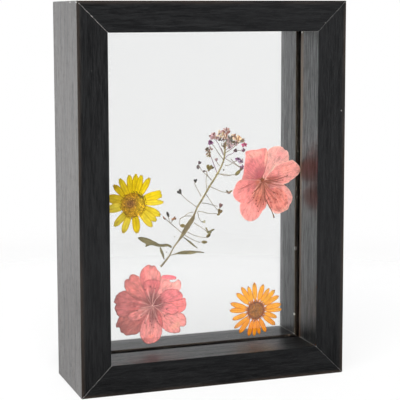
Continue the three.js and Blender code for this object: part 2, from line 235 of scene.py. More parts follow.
def add_surroundings():
    """White studio surroundings. They are plain white to look at, and shaded as a source of light."""
    world = bpy.data.worlds.new("studio")
    bpy.context.scene.world = world
    g = Graph(world)
    direction = g.node("TexCoord").outputs["Generated"]
    x, y, z = g.parts(direction)

    def towards(side, edge):
        facing = g.node("VectorMath", {0: direction, 1: side}, operation="DOT_PRODUCT")
        return g.fade(facing.outputs["Value"], *edge)

    rays = g.node("LightPath").outputs
    shaded = g.math("GREATER_THAN", rays["Diffuse Depth"], 0.5)
    mirrored = g.math("LESS_THAN", rays["Diffuse Depth"], 0.5)
    open_level = g.choose(g.fade(z, *CEILING_SPAN), SURROUND, CEILING)
    dimming = g.math("SUBTRACT", g.fade(x, *DIM_SPAN, *DIM_LEVELS), 1.0)
    level = g.times(open_level, g.add(1.0, g.times(towards(DIM_SIDE, DIM_EDGE), dimming)))
    key = g.times(towards(KEY_SIDE, KEY_EDGE), g.choose(shaded, KEY_MIRRORED, KEY_LEVEL))
    fill = g.times(towards(FILL_SIDE, FILL_EDGE), FILL_LEVEL)
    card = g.times(towards(SIDE_CARD, SIDE_EDGE), SIDE_LEVEL)
    screen = g.times(g.fade(x, *BACK_SPAN), g.fade(y, *BACK_EDGE), BACK_LEVEL)
    level = g.add(level, key, fill, g.times(mirrored, g.add(card, screen)))
    in_pane = g.times(rays["Is Singular Ray"], g.math("LESS_THAN", y, AHEAD), mirrored)
    level = g.times(level, g.choose(in_pane, 1.0, PANE_DIM))
    seen = g.math("LESS_THAN", g.add(rays["Diffuse Depth"], rays["Glossy Depth"]), 0.5)
    strength = g.add(g.times(seen, SURROUND), g.times(g.math("SUBTRACT", 1.0, seen), level))
    background = g.node("Background", {"Color": (1, 1, 1), "Strength": strength})
    output = g.node("OutputWorld")
    g.put(output.inputs["Surface"], background.outputs[0])


def flat_piece(name, corners):
    """One flat polygon, linked to the scene."""
    mesh = bpy.data.meshes.new(name)
    mesh.from_pydata(corners, [], [tuple(range(len(corners)))])
    piece = bpy.data.objects.new(name, mesh)
    bpy.context.scene.collection.objects.link(piece)
    return piece


def add_floor():
    """A pale round floor that glows a little, with a painted shadow behind the frame.
    It fades out into the surroundings.
    """
    turns = np.linspace(0, 2 * math.pi, FLOOR_SIDES, endpoint=False)
    ring = [(FLOOR_RADIUS * math.cos(a), FLOOR_RADIUS * math.sin(a), 0.0) for a in turns]
    floor = flat_piece("floor", ring)
    floor.location.z = -FLOOR_DROP
    g = new_graph("pale_floor")
    mirrored = g.math("GREATER_THAN", g.node("LightPath").outputs["Glossy Depth"], 0.5)
    coordinates = g.node("TexCoord").outputs["Object"]
    x, y = g.parts(coordinates)[:2]
    # Painted shadow: the floor glows less on a stretch behind the frame.
    behind = g.fade(g.away(x, g.times(y, BEHIND_LEAN)), *BEHIND_HALF)
    behind = g.times(behind, g.fade(y, *BEHIND_START), FLOOR_PAINTED_SHADOW)
    inputs = {
        "Base Color": FLOOR_COLOR,
        "Roughness": 0.85,
        "Emission Color": (1, 1, 1),
        "Emission Strength": g.add(FLOOR_GLOW, behind, g.times(mirrored, FLOOR_MIRRORED)),
        "Specular IOR Level": 0.2,
    }
    solid = g.node("BsdfPrincipled", inputs).outputs[0]
    far = g.node("VectorMath", {0: coordinates}, operation="LENGTH")
    share = g.fade(far.outputs["Value"], FLOOR_FADE, FLOOR_RADIUS)
    clear = g.node("BsdfTransparent").outputs[0]
    material = g.finish(g.node("MixShader", {0: share, 1: solid, 2: clear}).outputs[0])
    floor.data.materials.append(material)


FLAG_X = (-0.35, 0.50)  # metres, as are the next two
FLAG_Y = (-0.60, -0.0226)
FLAG_Z = 0.00005
FLAG_TONES = (0.15, 0.58)  # its brightness next to the frame and from FLAG_REACH onwards, in metres
FLAG_REACH = 0.20


def add_flag():
    """A grey card on the floor in front, as photographers use. It only dims what is mirrored."""
    (x0, x1), (y0, y1) = FLAG_X, FLAG_Y
    flag = flat_piece("flag", [(x0, y0, FLAG_Z), (x1, y0, FLAG_Z), (x1, y1, FLAG_Z), (x0, y1, FLAG_Z)])
    flag.visible_camera = False
    flag.visible_transmission = False
    flag.visible_diffuse = False
    g = new_graph("grey_card")
    ahead = g.times(g.parts(g.node("TexCoord").outputs["Object"])[1], -1.0)
    tone = g.fade(ahead, -y1, FLAG_REACH, *FLAG_TONES)
    in_pane = g.node("LightPath").outputs["Is Singular Ray"]
    tone = g.times(tone, g.choose(in_pane, 1.0, PANE_DIM))
    flag.data.materials.append(g.finish(g.node("Emission", {"Strength": tone}).outputs[0]))


# ---- Bars and panes ----

GROOVE = (-2.5, 4.0)  # y of the groove's front and back walls
GROOVE_SHADE_DEPTH = 1.7  # how deep into the groove the back wall's bare board fades out to black foil, a painted shade
LIP_FRONT = (-4.3, -5.5)  # y where the bare lip before the groove starts, low and high on a stile
LIP_RISE = (95, 135)  # heights between which it goes from the first to the second
DUSTY = (15.0, 21.5)  # y between which the inner faces turn dusty towards their back edge
# Width and length of each kind of grain in millimetres, and how finely it is broken up.
BROAD, STREAK, FINE, PORE = (1.9, 34, 2.0), (0.8, 12, 2.0), (0.36, 6, 3.0), (0.24, 3.2, 2.0)
GRAIN_SHARES = (0.24, 0.32, 0.44)  # how much the first three count in the tone of the foil
TONE_SPAN = (0.38, 0.62)  # tones between which the foil goes from dark to light
WIDE_SPAN = (0.36, 0.64)  # and from smooth to rough
PORE_SPAN = (0.58, 0.68)  # noise between which a pore begins
FOIL_COLORS = ((0.0012, 0.0012, 0.0014), (0.0046, 0.0046, 0.0046))
PORE_COLOR = (0.001, 0.001, 0.001)
BROWNED_EDGE = (0.021, 0.012, 0.006)
BROWNED_REACH = (2.4, 0.2)  # distances from the outer edge between which it browns
DUST_COLOR = (0.096, 0.096, 0.094)
BOARD_COLORS = ((0.055, 0.039, 0.028), (0.120, 0.092, 0.070))
AGED_BOARD = (0.052, 0.030, 0.017)
AGED_RISE = (110, 45)  # heights between which the lip's board ages
WORN_COLOR = (0.41, 0.40, 0.385)
CHIP_COLOR = (0.80, 0.78, 0.74)
CRUMBLE = 0.9  # how unevenly the bare board begins and ends
CRUMB_NOISE, WEAR_NOISE = (2.4, 4.0, 0.6), (1.1, 5.0, 0.7)  # scale, detail and roughness
LINE_HALF = (0.10, 0.27)  # half widths of a worn line where it is narrow and where it is wide
LINE_EXTRA = 0.12  # added to them inside the opening
# How light the worn line at each mitre is, and what is added to it inside the opening, before and
# behind the panes. The line is worn foil; how much lighter it is at one corner than another is a
# painted highlight.
MITRE_WEAR_AND_HIGHLIGHT = {"top_left": 0.30, "bottom_left": 0.16, "top_right": 0.11, "bottom_right": 0.10}
INNER_WEAR = (0.05, 0.42)
FACE_EDGE = (22.3, 21.5)  # y, to the front and to the back, between which the side faces begin
FOIL_TINT = (0.93, 0.955, 1.0)  # of its gloss
FOIL_ROUGHNESS = (0.28, 0.44)
FOIL_GLOSS = 0.5
GLOSS_BESIDE = 0.13  # added to it on the side faces
GLOSS_SWING = (0.06, 0.40)  # how much it changes with the grain, in front and on the side faces
GLOSS_BARE = 0.2  # share of it that bare board has
DULL_GRAIN, DULL_PORES = 0.26, 0.16  # shares of dull foil on the side faces
RELIEF_SHARES = (0.5, 0.5, 0.3, -0.3)  # of the grains and pores in the foil's relief
FOIL_RELIEF = 0.0002  # its height in metres
# Small light chips in the foil: middle, reach in millimetres and how light they are.
CHIPS = [
    ((-59.0, -22.5, 149.1), 0.30, 0.05), ((54.7, -22.5, 169.7), 0.35, 0.20),
    ((63.5, -22.5, 128.1), 0.35, 0.20), ((51.3, 4.5, 24.3), 0.85, 1.00),
    ((51.5, 3.9, 57.8), 1.20, 0.30), ((51.3, -3.6, 165.0), 0.60, 0.80),
    ((-65.5, -11.0, 179.4), 0.60, 0.50), ((-65.5, -21.9, 179.3), 0.60, 0.50),
    ((17.0, 9.7, 14.2), 0.40, 0.50),
]


class Foil:
    """Black wood-grain foil: streaks and pores run along the bar, and its edges are worn and chipped."""

    def __init__(self, name, upright):
        self.g = g = new_graph(name)
        self.upright = upright
        self.x, self.y, self.z = g.place()
        self.at = g.vector(self.x, self.y, self.z)
        self.inset = g.math("SUBTRACT", HALF_WIDTH, g.math("ABSOLUTE", self.x))
        self.rise = g.math("MINIMUM", self.z, g.math("SUBTRACT", HEIGHT, self.z))
        self.inward = self.inset if upright else self.rise
        self.on_inner_face = g.fade(self.inward, FACE - 0.4, FACE - 0.2)
        self.beside = g.fade(g.math("ABSOLUTE", self.y), *FACE_EDGE)
        self.broad, self.streak, self.fine = (self.grain(*size) for size in (BROAD, STREAK, FINE))
        self.pore = g.fade(self.grain(*PORE), *PORE_SPAN)
        grains = zip((self.broad, self.streak, self.fine), GRAIN_SHARES)
        self.tone = g.add(*(g.times(grain, share) for grain, share in grains))
        self.rough = g.noise(self.at, *WEAR_NOISE)

    def grain(self, width, length, detail):
        g = self.g
        along, across = (self.z, self.x) if self.upright else (self.x, self.z)
        across, deep = g.times(across, 1 / width), g.times(self.y, 1 / width)
        return g.noise(g.vector(across, deep, g.times(along, 1 / length)), detail=detail)

    def foil_color(self):
        """The foil itself, browned along the outer edge and dusty inside, behind the panes."""
        g = self.g
        color = g.mix(g.fade(self.tone, *TONE_SPAN), *FOIL_COLORS)
        color = g.mix(g.times(self.pore, 0.5), color, PORE_COLOR)
        brown = g.times(g.fade(self.inward, *BROWNED_REACH), g.fade(self.broad, 0.2, 0.6), 0.8)
        color = g.mix(brown, color, BROWNED_EDGE)
        patchy = g.fade(self.tone, *WIDE_SPAN, 0.5, 1.0)
        return g.mix(g.times(self.on_inner_face, g.fade(self.y, *DUSTY), patchy), color, DUST_COLOR)

    def with_bare_board(self, color):
        """Bare board on the groove's back wall, darkening deeper in as painted shade, and on a stile's lip.
        Returns the colour and where.
        """
        g = self.g
        crumbs = g.noise(self.at, *CRUMB_NOISE)
        bare = g.mix(crumbs, *BOARD_COLORS)
        depth = g.add(self.y, g.swing(crumbs, CRUMBLE))
        front, back = GROOVE
        wall = g.times(g.fade(depth, back - 1.0, back - 0.5), g.fade(depth, back + 0.9, back + 0.3))
        # Deeper into the groove the bare board fades to black foil: painted shade.
        wall = g.times(wall, g.fade(self.inward, FACE - GROOVE_SHADE_DEPTH, FACE - 0.2))
        color = g.mix(g.times(wall, 0.9), color, bare)
        if not self.upright:
            return color, wall
        past_start = g.math("SUBTRACT", depth, g.fade(self.z, *LIP_RISE, *LIP_FRONT))
        lip = g.times(g.fade(past_start, -0.15, 0.15), g.fade(depth, front + 0.3, front))
        lip = g.times(lip, self.on_inner_face)
        aged = g.mix(g.fade(self.z, *AGED_RISE), bare, AGED_BOARD)
        return g.mix(lip, color, aged), g.math("MAXIMUM", wall, lip)

    def with_wear_and_highlight(self, color):
        """Light worn lines along the mitres, partly a painted highlight that differs by corner, and the
        chips.
        """
        g, rough = self.g, self.rough
        from_mitre = g.times(g.away(self.inset, self.rise), math.sqrt(0.5))
        half = g.add(g.fade(rough, 0.35, 0.70, *LINE_HALF), g.times(self.on_inner_face, LINE_EXTRA))
        # The worn line is lighter at some mitres than at others: a painted highlight.
        top = g.math("GREATER_THAN", self.z, HEIGHT / 2)
        at_left = g.choose(top, MITRE_WEAR_AND_HIGHLIGHT["bottom_left"], MITRE_WEAR_AND_HIGHLIGHT["top_left"])
        at_right = g.choose(top, MITRE_WEAR_AND_HIGHLIGHT["bottom_right"], MITRE_WEAR_AND_HIGHLIGHT["top_right"])
        wear_and_highlight = g.choose(g.math("LESS_THAN", self.x, 0.0), at_right, at_left)
        inner = g.times(self.on_inner_face, g.fade(self.y, *GROOVE, *INNER_WEAR))
        line = g.math("LESS_THAN", from_mitre, half)
        line = g.times(line, g.add(wear_and_highlight, inner), g.fade(rough, 0.38, 0.62, 0.4, 1.35))
        color = g.mix(line, color, WORN_COLOR)
        for middle, reach, lightness in CHIPS:
            far = g.node("VectorMath", {0: self.at, 1: middle}, operation="DISTANCE").outputs["Value"]
            far = g.add(far, g.swing(rough, reach))
            color = g.mix(g.times(g.fade(far, reach, 0.6 * reach), lightness), color, CHIP_COLOR)
        return color

    def gloss(self, unfoiled):
        """Specular level: it changes most along the side faces, and is low on bare board."""
        g = self.g
        uneven = g.times(g.fade(self.tone, *TONE_SPAN, -1.0, 1.0), g.choose(self.beside, *GLOSS_SWING))
        level = g.add(FOIL_GLOSS, uneven, g.times(self.beside, GLOSS_BESIDE))
        return g.times(level, g.choose(unfoiled, 1.0, GLOSS_BARE))

    def material(self):
        g = self.g
        color, unfoiled = self.with_bare_board(self.foil_color())
        color = self.with_wear_and_highlight(color)
        relief = zip((self.broad, self.streak, self.fine, self.pore), RELIEF_SHARES)
        height = g.add(*(g.times(grain, share) for grain, share in relief))
        bump = g.node("Bump", {"Strength": 1.0, "Distance": FOIL_RELIEF, "Height": height})
        inputs = {
            "Base Color": color,
            "Roughness": g.fade(self.tone, *WIDE_SPAN, *FOIL_ROUGHNESS),
            "Specular IOR Level": self.gloss(unfoiled),
            "Specular Tint": FOIL_TINT,
            "IOR": 1.5,
            "Normal": bump.outputs[0],
        }
        satin = g.node("BsdfPrincipled", inputs).outputs[0]
        matte = g.node("BsdfDiffuse", {"Color": color}).outputs[0]
        dull = g.times(self.beside, g.fade(self.tone, 0.60, 0.42), DULL_GRAIN)
        dull = g.add(dull, g.times(self.beside, self.pore, DULL_PORES))
        return g.finish(g.node("MixShader", {0: dull, 1: satin, 2: matte}).outputs[0])


GLASS_COLOR = (0.986, 0.989, 0.988)  # what is left of the light at each of its faces


def glass_material():
    """Clear glass, with no texture of its own."""
    g = new_graph("clear_pane")
    inputs = {
        "Base Color": GLASS_COLOR,
        "Roughness": 0.0,
        "IOR": 1.5,
        "Transmission Weight": 1.0,
    }
    return g.finish(g.node("BsdfPrincipled", inputs).outputs[0])


def finish_bars_and_panes():
    upright = Foil("foil_upright", True).material()
    level = Foil("foil_level", False).material()
    glass = glass_material()
    pieces = {
        "left_stile": upright, "right_stile": upright, "top_rail": level, "bottom_rail": level,
        "front_glass": glass, "back_glass": glass,
    }
    for node, material in pieces.items():
        NODES[node].data.materials.clear()
        NODES[node].data.materials.append(material)


# ---- Mesh building ----


def outline_of(node):
    """The outline of a flat CAD piece as (x, z) points in millimetres, anticlockwise from the front."""
    mesh = NODES[node].data
    corners = [(round(v.co.x / MM, 4), round(v.co.z / MM, 4)) for v in mesh.vertices]
    follows = {}
    for face in mesh.polygons:
        if face.normal.y < -0.99:
            loop = [corners[i] for i in face.vertices]
            for a, b in zip(loop, loop[1:] + loop[:1]):
                if follows.get(b) and a in follows[b]:
                    follows[b].remove(a)
                else:
                    follows.setdefault(a, []).append(b)
    start = next(a for a in follows if follows[a])
    outline, at = [start], follows[start][0]
    while at != start:
        outline.append(at)
        at = follows[at][0]
    return np.array(outline)


def resampled(points, spacing, closed=True):
    """A smooth curve through the points, with steps of about that spacing."""
    points = np.asarray(points, float)
    count = len(points)
    before = np.roll(points, 1, 0) if closed else np.vstack([2 * points[0] - points[1], points[:-1]])
    after = np.roll(points, -1, 0) if closed else np.vstack([points[1:], 2 * points[-1] - points[-2]])
    tangent = (after - before) / 2
    made = []
    for i in range(count if closed else count - 1):
        j = (i + 1) % count
        steps = max(1, round(float(np.linalg.norm(points[j] - points[i])) / spacing))
        for t in np.arange(steps) / steps:
            made.append(
                (2 * t**3 - 3 * t**2 + 1) * points[i]
                + (t**3 - 2 * t**2 + t) * tangent[i]
                + (3 * t**2 - 2 * t**3) * points[j]
                + (t**3 - t**2) * tangent[j]
            )
    if not closed:
        made.append(points[-1])
    return np.array(made)


def directions(root, tip):
    """Unit vectors from root towards tip, and to the left of that."""
    axis = (tip - root) / np.linalg.norm(tip - root)
    return axis, np.array([-axis[1], axis[0]])


def heading(angle):
    """Unit vectors at that angle in degrees, and to the left of it."""
    turn = math.radians(angle)
    return np.array([math.cos(turn), math.sin(turn)]), np.array([-math.sin(turn), math.cos(turn)])


def raised(points, y):
    """Points (x, z) as points (x, y, z)."""
    points = np.asarray(points, float)
    return np.column_stack([points[:, 0], np.full(len(points), y), points[:, 1]])


def edge_distance(points, outline):
    """How far each point is from the outline."""
    a = outline[None]
    d = np.roll(outline, -1, 0)[None] - a
    p = points[:, None] - a
    share = np.clip((p * d).sum(2) / np.maximum((d * d).sum(2), 1e-12), 0, 1)
    return np.sqrt(((p - share[..., None] * d) ** 2).sum(2)).min(1)


def inside(points, outline):
    """Which of the points lie within the outline."""
    x, z = points[:, :1], points[:, 1:]
    ax, az = outline[None, :, 0], outline[None, :, 1]
    bx, bz = np.roll(ax, -1, 1), np.roll(az, -1, 1)
    crosses = ((az > z) != (bz > z)) & (x < (bx - ax) * (z - az) / (bz - az + 1e-12) + ax)
    return crosses.sum(1) % 2 == 1


def filled(outline, spacing):
    """Even triangles inside an outline. The outline's own points come first."""
    low, high = outline.min(0), outline.max(0)
    rows = np.arange(low[1], high[1], spacing * math.sqrt(0.75))
    grid = [
        (x + (i % 2) * spacing / 2, z)
        for i, z in enumerate(rows)
        for x in np.arange(low[0] - spacing, high[0], spacing)
    ]
    grid = np.array(grid)
    grid = grid[inside(grid, outline)]
    grid = grid[edge_distance(grid, outline) > 0.55 * spacing]
    points = np.vstack([outline, grid])
    ring = [(i, (i + 1) % len(outline)) for i in range(len(outline))]
    made = geometry.delaunay_2d_cdt([Vector(p) for p in points], ring, [], 1, 1e-7)
    return np.array([tuple(p) for p in made[0]]), [tuple(f) for f in made[2]]


class Sheet:
    """A thin closed sheet between two surfaces, filled from an outline of (x, z) points."""

    def __init__(self, outline, spacing, root, tip):
        self.flat, self.faces = filled(outline, spacing)
        rim = edge_distance(self.flat, outline)
        self.edge = np.where(rim < 1e-6, 0.0, rim)
        root, tip = np.asarray(root, float), np.asarray(tip, float)
        axis, side = directions(root, tip)
        self.along, self.across = (self.flat - root) @ axis, (self.flat - root) @ side
        self.fan = np.column_stack([self.along, self.across, self.edge])
        self.share = self.along / self.along.max()

    def rim(self, width):
        """1 at the edge, falling to 0 at that distance from it."""
        return eased((width - self.edge) / width)

    def all_of(self, color):
        """That colour at every point."""
        return np.tile(color, (len(self.flat), 1))

    def rim_edges(self):
        """The directed edges that belong to one triangle only."""
        edges = {(a, b) for f in self.faces for a, b in zip(f, f[1:] + f[:1])}
        return [(a, b) for a, b in edges if (b, a) not in edges]

    def solid(self, front, back):
        """Points and faces of the closed sheet. front and back are y values for each point."""
        count = len(self.flat)
        near, far = (np.column_stack([self.flat[:, 0], y, self.flat[:, 1]]) for y in (front, back))
        faces = list(self.faces)
        faces += [tuple(i + count for i in reversed(f)) for f in self.faces]
        faces += [(b, a, a + count, b + count) for a, b in self.rim_edges()]
        return np.vstack([near, far]), faces


def object_from(name, points, faces, material, tint, fan):
    """An object that rides the frame. Points are in millimetres, and tint and fan are per point."""
    mesh = bpy.data.meshes.new(name)
    mesh.from_pydata([tuple(p) for p in np.asarray(points) * MM], [], faces)
    mesh.polygons.foreach_set("use_smooth", [True] * len(mesh.polygons))
    for key, values in (("tint", tint), ("fan", fan)):
        values = np.asarray(values, np.float32).ravel()
        mesh.attributes.new(key, "FLOAT_VECTOR", "POINT").data.foreach_set("vector", values)
    mesh.materials.append(material)
    mesh.update()
    piece = bpy.data.objects.new(name, mesh)
    bpy.context.scene.collection.objects.link(piece)
    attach(piece, BODY)
    return piece


# ---- Colours ----


def srgb(red, green, blue):
    """A colour of 0 to 255 as linear light."""
    made = []
    for value in (red, green, blue):
        share = value / 255
        made.append(share / 12.92 if share <= 0.04045 else ((share + 0.055) / 1.055) ** 2.4)
    return np.array(made)


def zone(points, centre, size, angle, softness):
    """1 for the points inside an ellipse of that half size, falling smoothly to 0 outside it."""
    turn = math.radians(angle)
    dx, dz = points[:, 0] - centre[0], points[:, 1] - centre[1]
    along = dx * math.cos(turn) + dz * math.sin(turn)
    across = dz * math.cos(turn) - dx * math.sin(turn)
    far = np.sqrt((along / size[0]) ** 2 + (across / size[1]) ** 2)
    return eased((1 + softness - far) / (2 * softness))


def eased(share):
    """0 to 1 with soft ends."""
    share = np.clip(share, 0, 1)
    return share * share * (3 - 2 * share)


def blended(colors, share, color):
    """The colours mixed with one colour, by a share for each point."""
    share = np.asarray(share)[:, None]
    return colors * (1 - share) + np.asarray(color) * share


def zoned(tint, points, centre, zones):
    """Blends in zones of (colour, place from the centre, half size, angle, softness, weight)."""
    for color, place, size, angle, softness, weight in zones:
        mask = zone(points, centre + np.asarray(place), size, angle, softness)
        tint = blended(tint, weight * mask, srgb(*color))
    return tint


def mottled(points, scale, seed):
    """Smooth noise of about -1 to 1 at each (x, z) point, with blotches of about that size."""
    return np.array([noise.noise(Vector((x / scale, z / scale, seed))) for x, z in points])


# ---- Materials of the pressed pieces ----
# Each piece carries its broad colours as the attribute "tint", and as "fan" how far each point is
# along the piece, across it and from its edge, in millimetres. The nodes add veins, fibres and specks.

VEIN_HALF = 0.055  # half width of a vein, as a part of the noise's range
FIBRE_SHARE, BLOTCH_SHARE = 2.2, 1.6  # how strong fibres are beside veins, and blotches beside specks
VEIN_CHANGE, FIBRE_CHANGE = 0.10, 0.35  # how fast each of them changes along the piece
BLOTCH_NOISE, SPECK_NOISE = (0.45, 3.0, 0.6), (3.2, 3.0, 0.65)  # scale, detail and roughness
DRY_ROUGHNESS = (0.62, 0.82)
DRY_RELIEF = 0.00006  # height of veins, fibres and specks in metres


def dry_material(name, veins, mottle, thin=0.42, spread=4.0, lines=26.0, shine=0.1):
    """Dry plant tissue. veins and mottle are how strongly they show, thin is the share of light that
    shines through, spread is how far behind the root the veins meet and lines how close they are."""
    g = new_graph(name)
    tint = g.attribute("tint").outputs["Color"]
    along, across = g.parts(g.attribute("fan").outputs["Vector"])[:2]
    x, y, z = g.place()
    angle = g.math("ARCTAN2", across, g.add(along, spread))
    fan = g.vector(g.times(angle, lines), g.times(along, VEIN_CHANGE), 0.0)
    waver = g.noise(fan, detail=2.5, roughness=0.6, distortion=0.3)
    vein = g.fade(g.away(waver, 0.5), VEIN_HALF, 0.0)
    fan = g.vector(g.times(angle, lines * 3), g.times(along, FIBRE_CHANGE), 3.0)
    fibre = g.noise(fan, detail=3.0)
    at = g.vector(x, g.times(y, 2.0), z)
    blotch, speck = g.noise(at, *BLOTCH_NOISE), g.noise(at, *SPECK_NOISE)
    level = g.add(
        1.0,
        g.times(vein, -veins),
        g.swing(fibre, veins * FIBRE_SHARE),
        g.swing(blotch, mottle * BLOTCH_SHARE),
        g.swing(speck, mottle),
    )
    color = g.mix(1.0, tint, g.vector(level, level, level), "MULTIPLY")
    height = g.add(g.times(vein, 0.6), g.times(fibre, 0.5), g.times(speck, 0.5))
    bump = g.node("Bump", {"Strength": 0.6, "Distance": DRY_RELIEF, "Height": height})
    inputs = {
        "Base Color": color,
        "Roughness": g.fade(speck, 0.3, 0.7, *DRY_ROUGHNESS),
        "Specular IOR Level": shine,
        "Normal": bump.outputs[0],
    }
    body = g.node("BsdfPrincipled", inputs).outputs[0]
    through = g.node("BsdfTranslucent", {"Color": color}).outputs[0]
    return g.finish(g.node("MixShader", {0: thin, 1: body, 2: through}).outputs[0])


# ---- Pressed sheets ----

HALF_SHEET = 0.032  # half the thickness of a dry petal
RELIEF = 0.026  # how far its surface rises and falls


def middle_y(node):
    """The y of a CAD node's layer."""
    low, high = box_mm(node)
    return (low[1] + high[1]) / 2


def normals_of(outline):
    """Unit vectors that point out of an anticlockwise outline, one for each point."""
    step = np.roll(outline, -1, 0) - np.roll(outline, 1, 0)
    step /= np.linalg.norm(step, axis=1)[:, None]
    return np.column_stack([step[:, 1], -step[:, 0]])


def nibbled(outline, root, amount, scale, seed, clear=3.0):
    """The outline with its far edge made uneven. Points within clear of the root stay in place."""
    far = np.linalg.norm(outline - root, axis=1)
    wave = mottled(outline, scale, seed) + 0.6 * mottled(outline, scale / 2.6, seed + 7)
    return outline + normals_of(outline) * (amount * wave * eased((far - clear) / clear))[:, None]


def sheet_object(name, sheet, y, relief, tint, material, half=HALF_SHEET):
    """A sheet around that y, with its relief."""
    points, faces = sheet.solid(y - half + relief, y + half + relief)
    return object_from(name, points, faces, material, np.vstack([tint, tint]), np.vstack([sheet.fan] * 2))


def pressed_node(node, sheet, relief, tint, material, half=HALF_SHEET):
    """A sheet that stands for a CAD node, in the node's place."""
    piece = sheet_object(f"pressed_{node}", sheet, middle_y(node), relief, tint, material, half)
    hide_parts(node)


class Heap:
    """Many small closed parts that end up in one mesh."""

    def __init__(self):
        self.points, self.faces, self.tint, self.fan = [], [], [], []

    def add(self, tint, points, faces, fan=None):
        """Adds a part. The tint is one colour, or one for each point."""
        start = sum(len(p) for p in self.points)
        points = np.asarray(points, float)
        self.points.append(points)
        self.faces += [tuple(i + start for i in face) for face in faces]
        tint = np.asarray(tint, float)
        self.tint.append(np.tile(tint, (len(points), 1)) if tint.ndim == 1 else tint)
        self.fan.append(np.zeros((len(points), 3)) if fan is None else fan)

    def make(self, name, material, node=None):
        tint, fan = np.vstack(self.tint), np.vstack(self.fan)
        piece = object_from(name, np.vstack(self.points), self.faces, material, tint, fan)
        if node:
            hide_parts(node)


def strand(path, half_width, half_depth, sides=8, ridges=0, ridge=0.0):
    """A closed flattened tube along (x, y, z) points. Returns its points, faces and fan values."""
    path = np.asarray(path, float)
    half_width = np.broadcast_to(np.asarray(half_width, float), len(path))
    half_depth = np.broadcast_to(np.asarray(half_depth, float), len(path))
    step = np.gradient(path, axis=0)
    flat = np.column_stack([-step[:, 2], np.zeros(len(path)), step[:, 0]])
    flat /= np.maximum(np.linalg.norm(flat, axis=1), 1e-9)[:, None]
    length = np.concatenate([[0], np.cumsum(np.linalg.norm(np.diff(path, axis=0), axis=1))])
    points, fan = [], []
    for i, at in enumerate(path):
        for k in range(sides):
            a = 2 * math.pi * k / sides
            swell = 1 + ridge * math.cos(ridges * a)
            points.append(
                at
                + flat[i] * half_width[i] * math.cos(a) * swell
                + np.array([0, half_depth[i] * math.sin(a) * swell, 0])
            )
            fan.append((length[i], half_width[i] * math.cos(a), 0.0))
    faces = []
    for i in range(len(path) - 1):
        for k in range(sides):
            a, b = i * sides + k, i * sides + (k + 1) % sides
            faces.append((b, a, a + sides, b + sides))
    faces.append(tuple(range(sides)))
    last = (len(path) - 1) * sides
    faces.append(tuple(reversed(range(last, last + sides))))
    return np.array(points), faces, np.array(fan)


def ellipse(centre, size, count=12):
    turns = np.linspace(0, 2 * math.pi, count, endpoint=False)
    return np.asarray(centre) + np.column_stack([size[0] * np.cos(turns), size[1] * np.sin(turns)])


PUFF_RIM = 0.012  # half thickness of a pillow at its edge


def puffed(outline, y, thickness, spacing, root, tip):
    """A closed pillow over an outline, thickest away from its edge: its points, faces and fan values."""
    sheet = Sheet(outline, spacing, root, tip)
    widest = max(float(sheet.edge.max()), 1e-3)
    rise = thickness / 2 * np.sqrt(np.clip(sheet.edge / widest, 0, 1)) + PUFF_RIM
    points, faces = sheet.solid(y - rise, y + rise)
    return points, faces, np.vstack([sheet.fan] * 2)


# ---- Daisies ----

YELLOW_CENTRE = np.array([-33.7, 84.7])
ORANGE_CENTRE = np.array([28.8, 28.9])


def ends_of(outline, centre):
    """The root and the tip of a ray: the middles of its nearest and its farthest two points."""
    order = np.argsort(np.linalg.norm(outline - centre, axis=1))
    return outline[order[:2]].mean(0), outline[order[-2:]].mean(0)


def toothed(outline, root, tip, teeth, depth):
    """Small notches across the tip of a ray."""
    axis, side = directions(root, tip)
    along, across = (outline - root) @ axis, (outline - root) @ side
    reach = along.max()
    near_tip = eased((along / reach - 0.86) / 0.12)
    wide = max(np.abs(across[along > 0.8 * reach]).max(), 0.1)
    notch = 0.5 - 0.5 * np.cos(math.pi * teeth * (across / wide + 1))
    return outline - axis * (depth * near_tip * notch)[:, None]


def slimmed(outline, root, tip, share):
    """The outline with that share of its width."""
    side = directions(root, tip)[1]
    return outline - side * (((outline - root) @ side) * (1 - share))[:, None]


RAY_PLEAT = 0.95  # from one furrow of a ray's surface to the next


def ray_relief(sheet, seed):
    """Lengthwise furrows, a little waviness and a flat rim."""
    furrows = np.cos(sheet.across * 2 * math.pi / RAY_PLEAT)
    wave = mottled(sheet.flat, 2.4, seed)
    return RELIEF * (0.55 * furrows * eased(sheet.edge / 0.35) + 0.6 * wave)


def stripes(sheet, spacing, shift=0.0):
    """Lengthwise coloured furrows: 1 in the middle of each, 0 halfway between them."""
    return (0.5 + 0.5 * np.cos(sheet.across * 2 * math.pi / spacing + shift)) ** 2


# Colour of each yellow ray, from 0 for ochre to 1 for clear bright yellow, in the CAD's order.
YELLOW_FRESH = [
    0.30, 0.35, 0.75, 0.55, 0.60, 0.70, 0.90, 0.95, 0.95, 0.85, 0.80, 0.75, 0.55, 0.45, 0.20, 0.25,
]
# How pale each of them is, from 0 to 1: partly the ray's faded colour, partly a painted highlight.
YELLOW_PALE_AND_HIGHLIGHT = [
    0.80, 0.75, 0.05, 0.60, 0.50, 0.35, 0.60, 0.10, 0.15, 0.05, 0.00, 0.10, 0.20, 0.10, 0.20, 0.90,
]
OCHRE = srgb(226, 198, 34)
BRIGHT_YELLOW = srgb(254, 232, 12)
GREEN_TIP = srgb(186, 186, 40)
GOLDEN_RIM = srgb(204, 156, 8)
# Pale yellow: partly the rays' faded colour, partly a painted highlight.
PALE_YELLOW_AND_HIGHLIGHT = srgb(252, 240, 98)
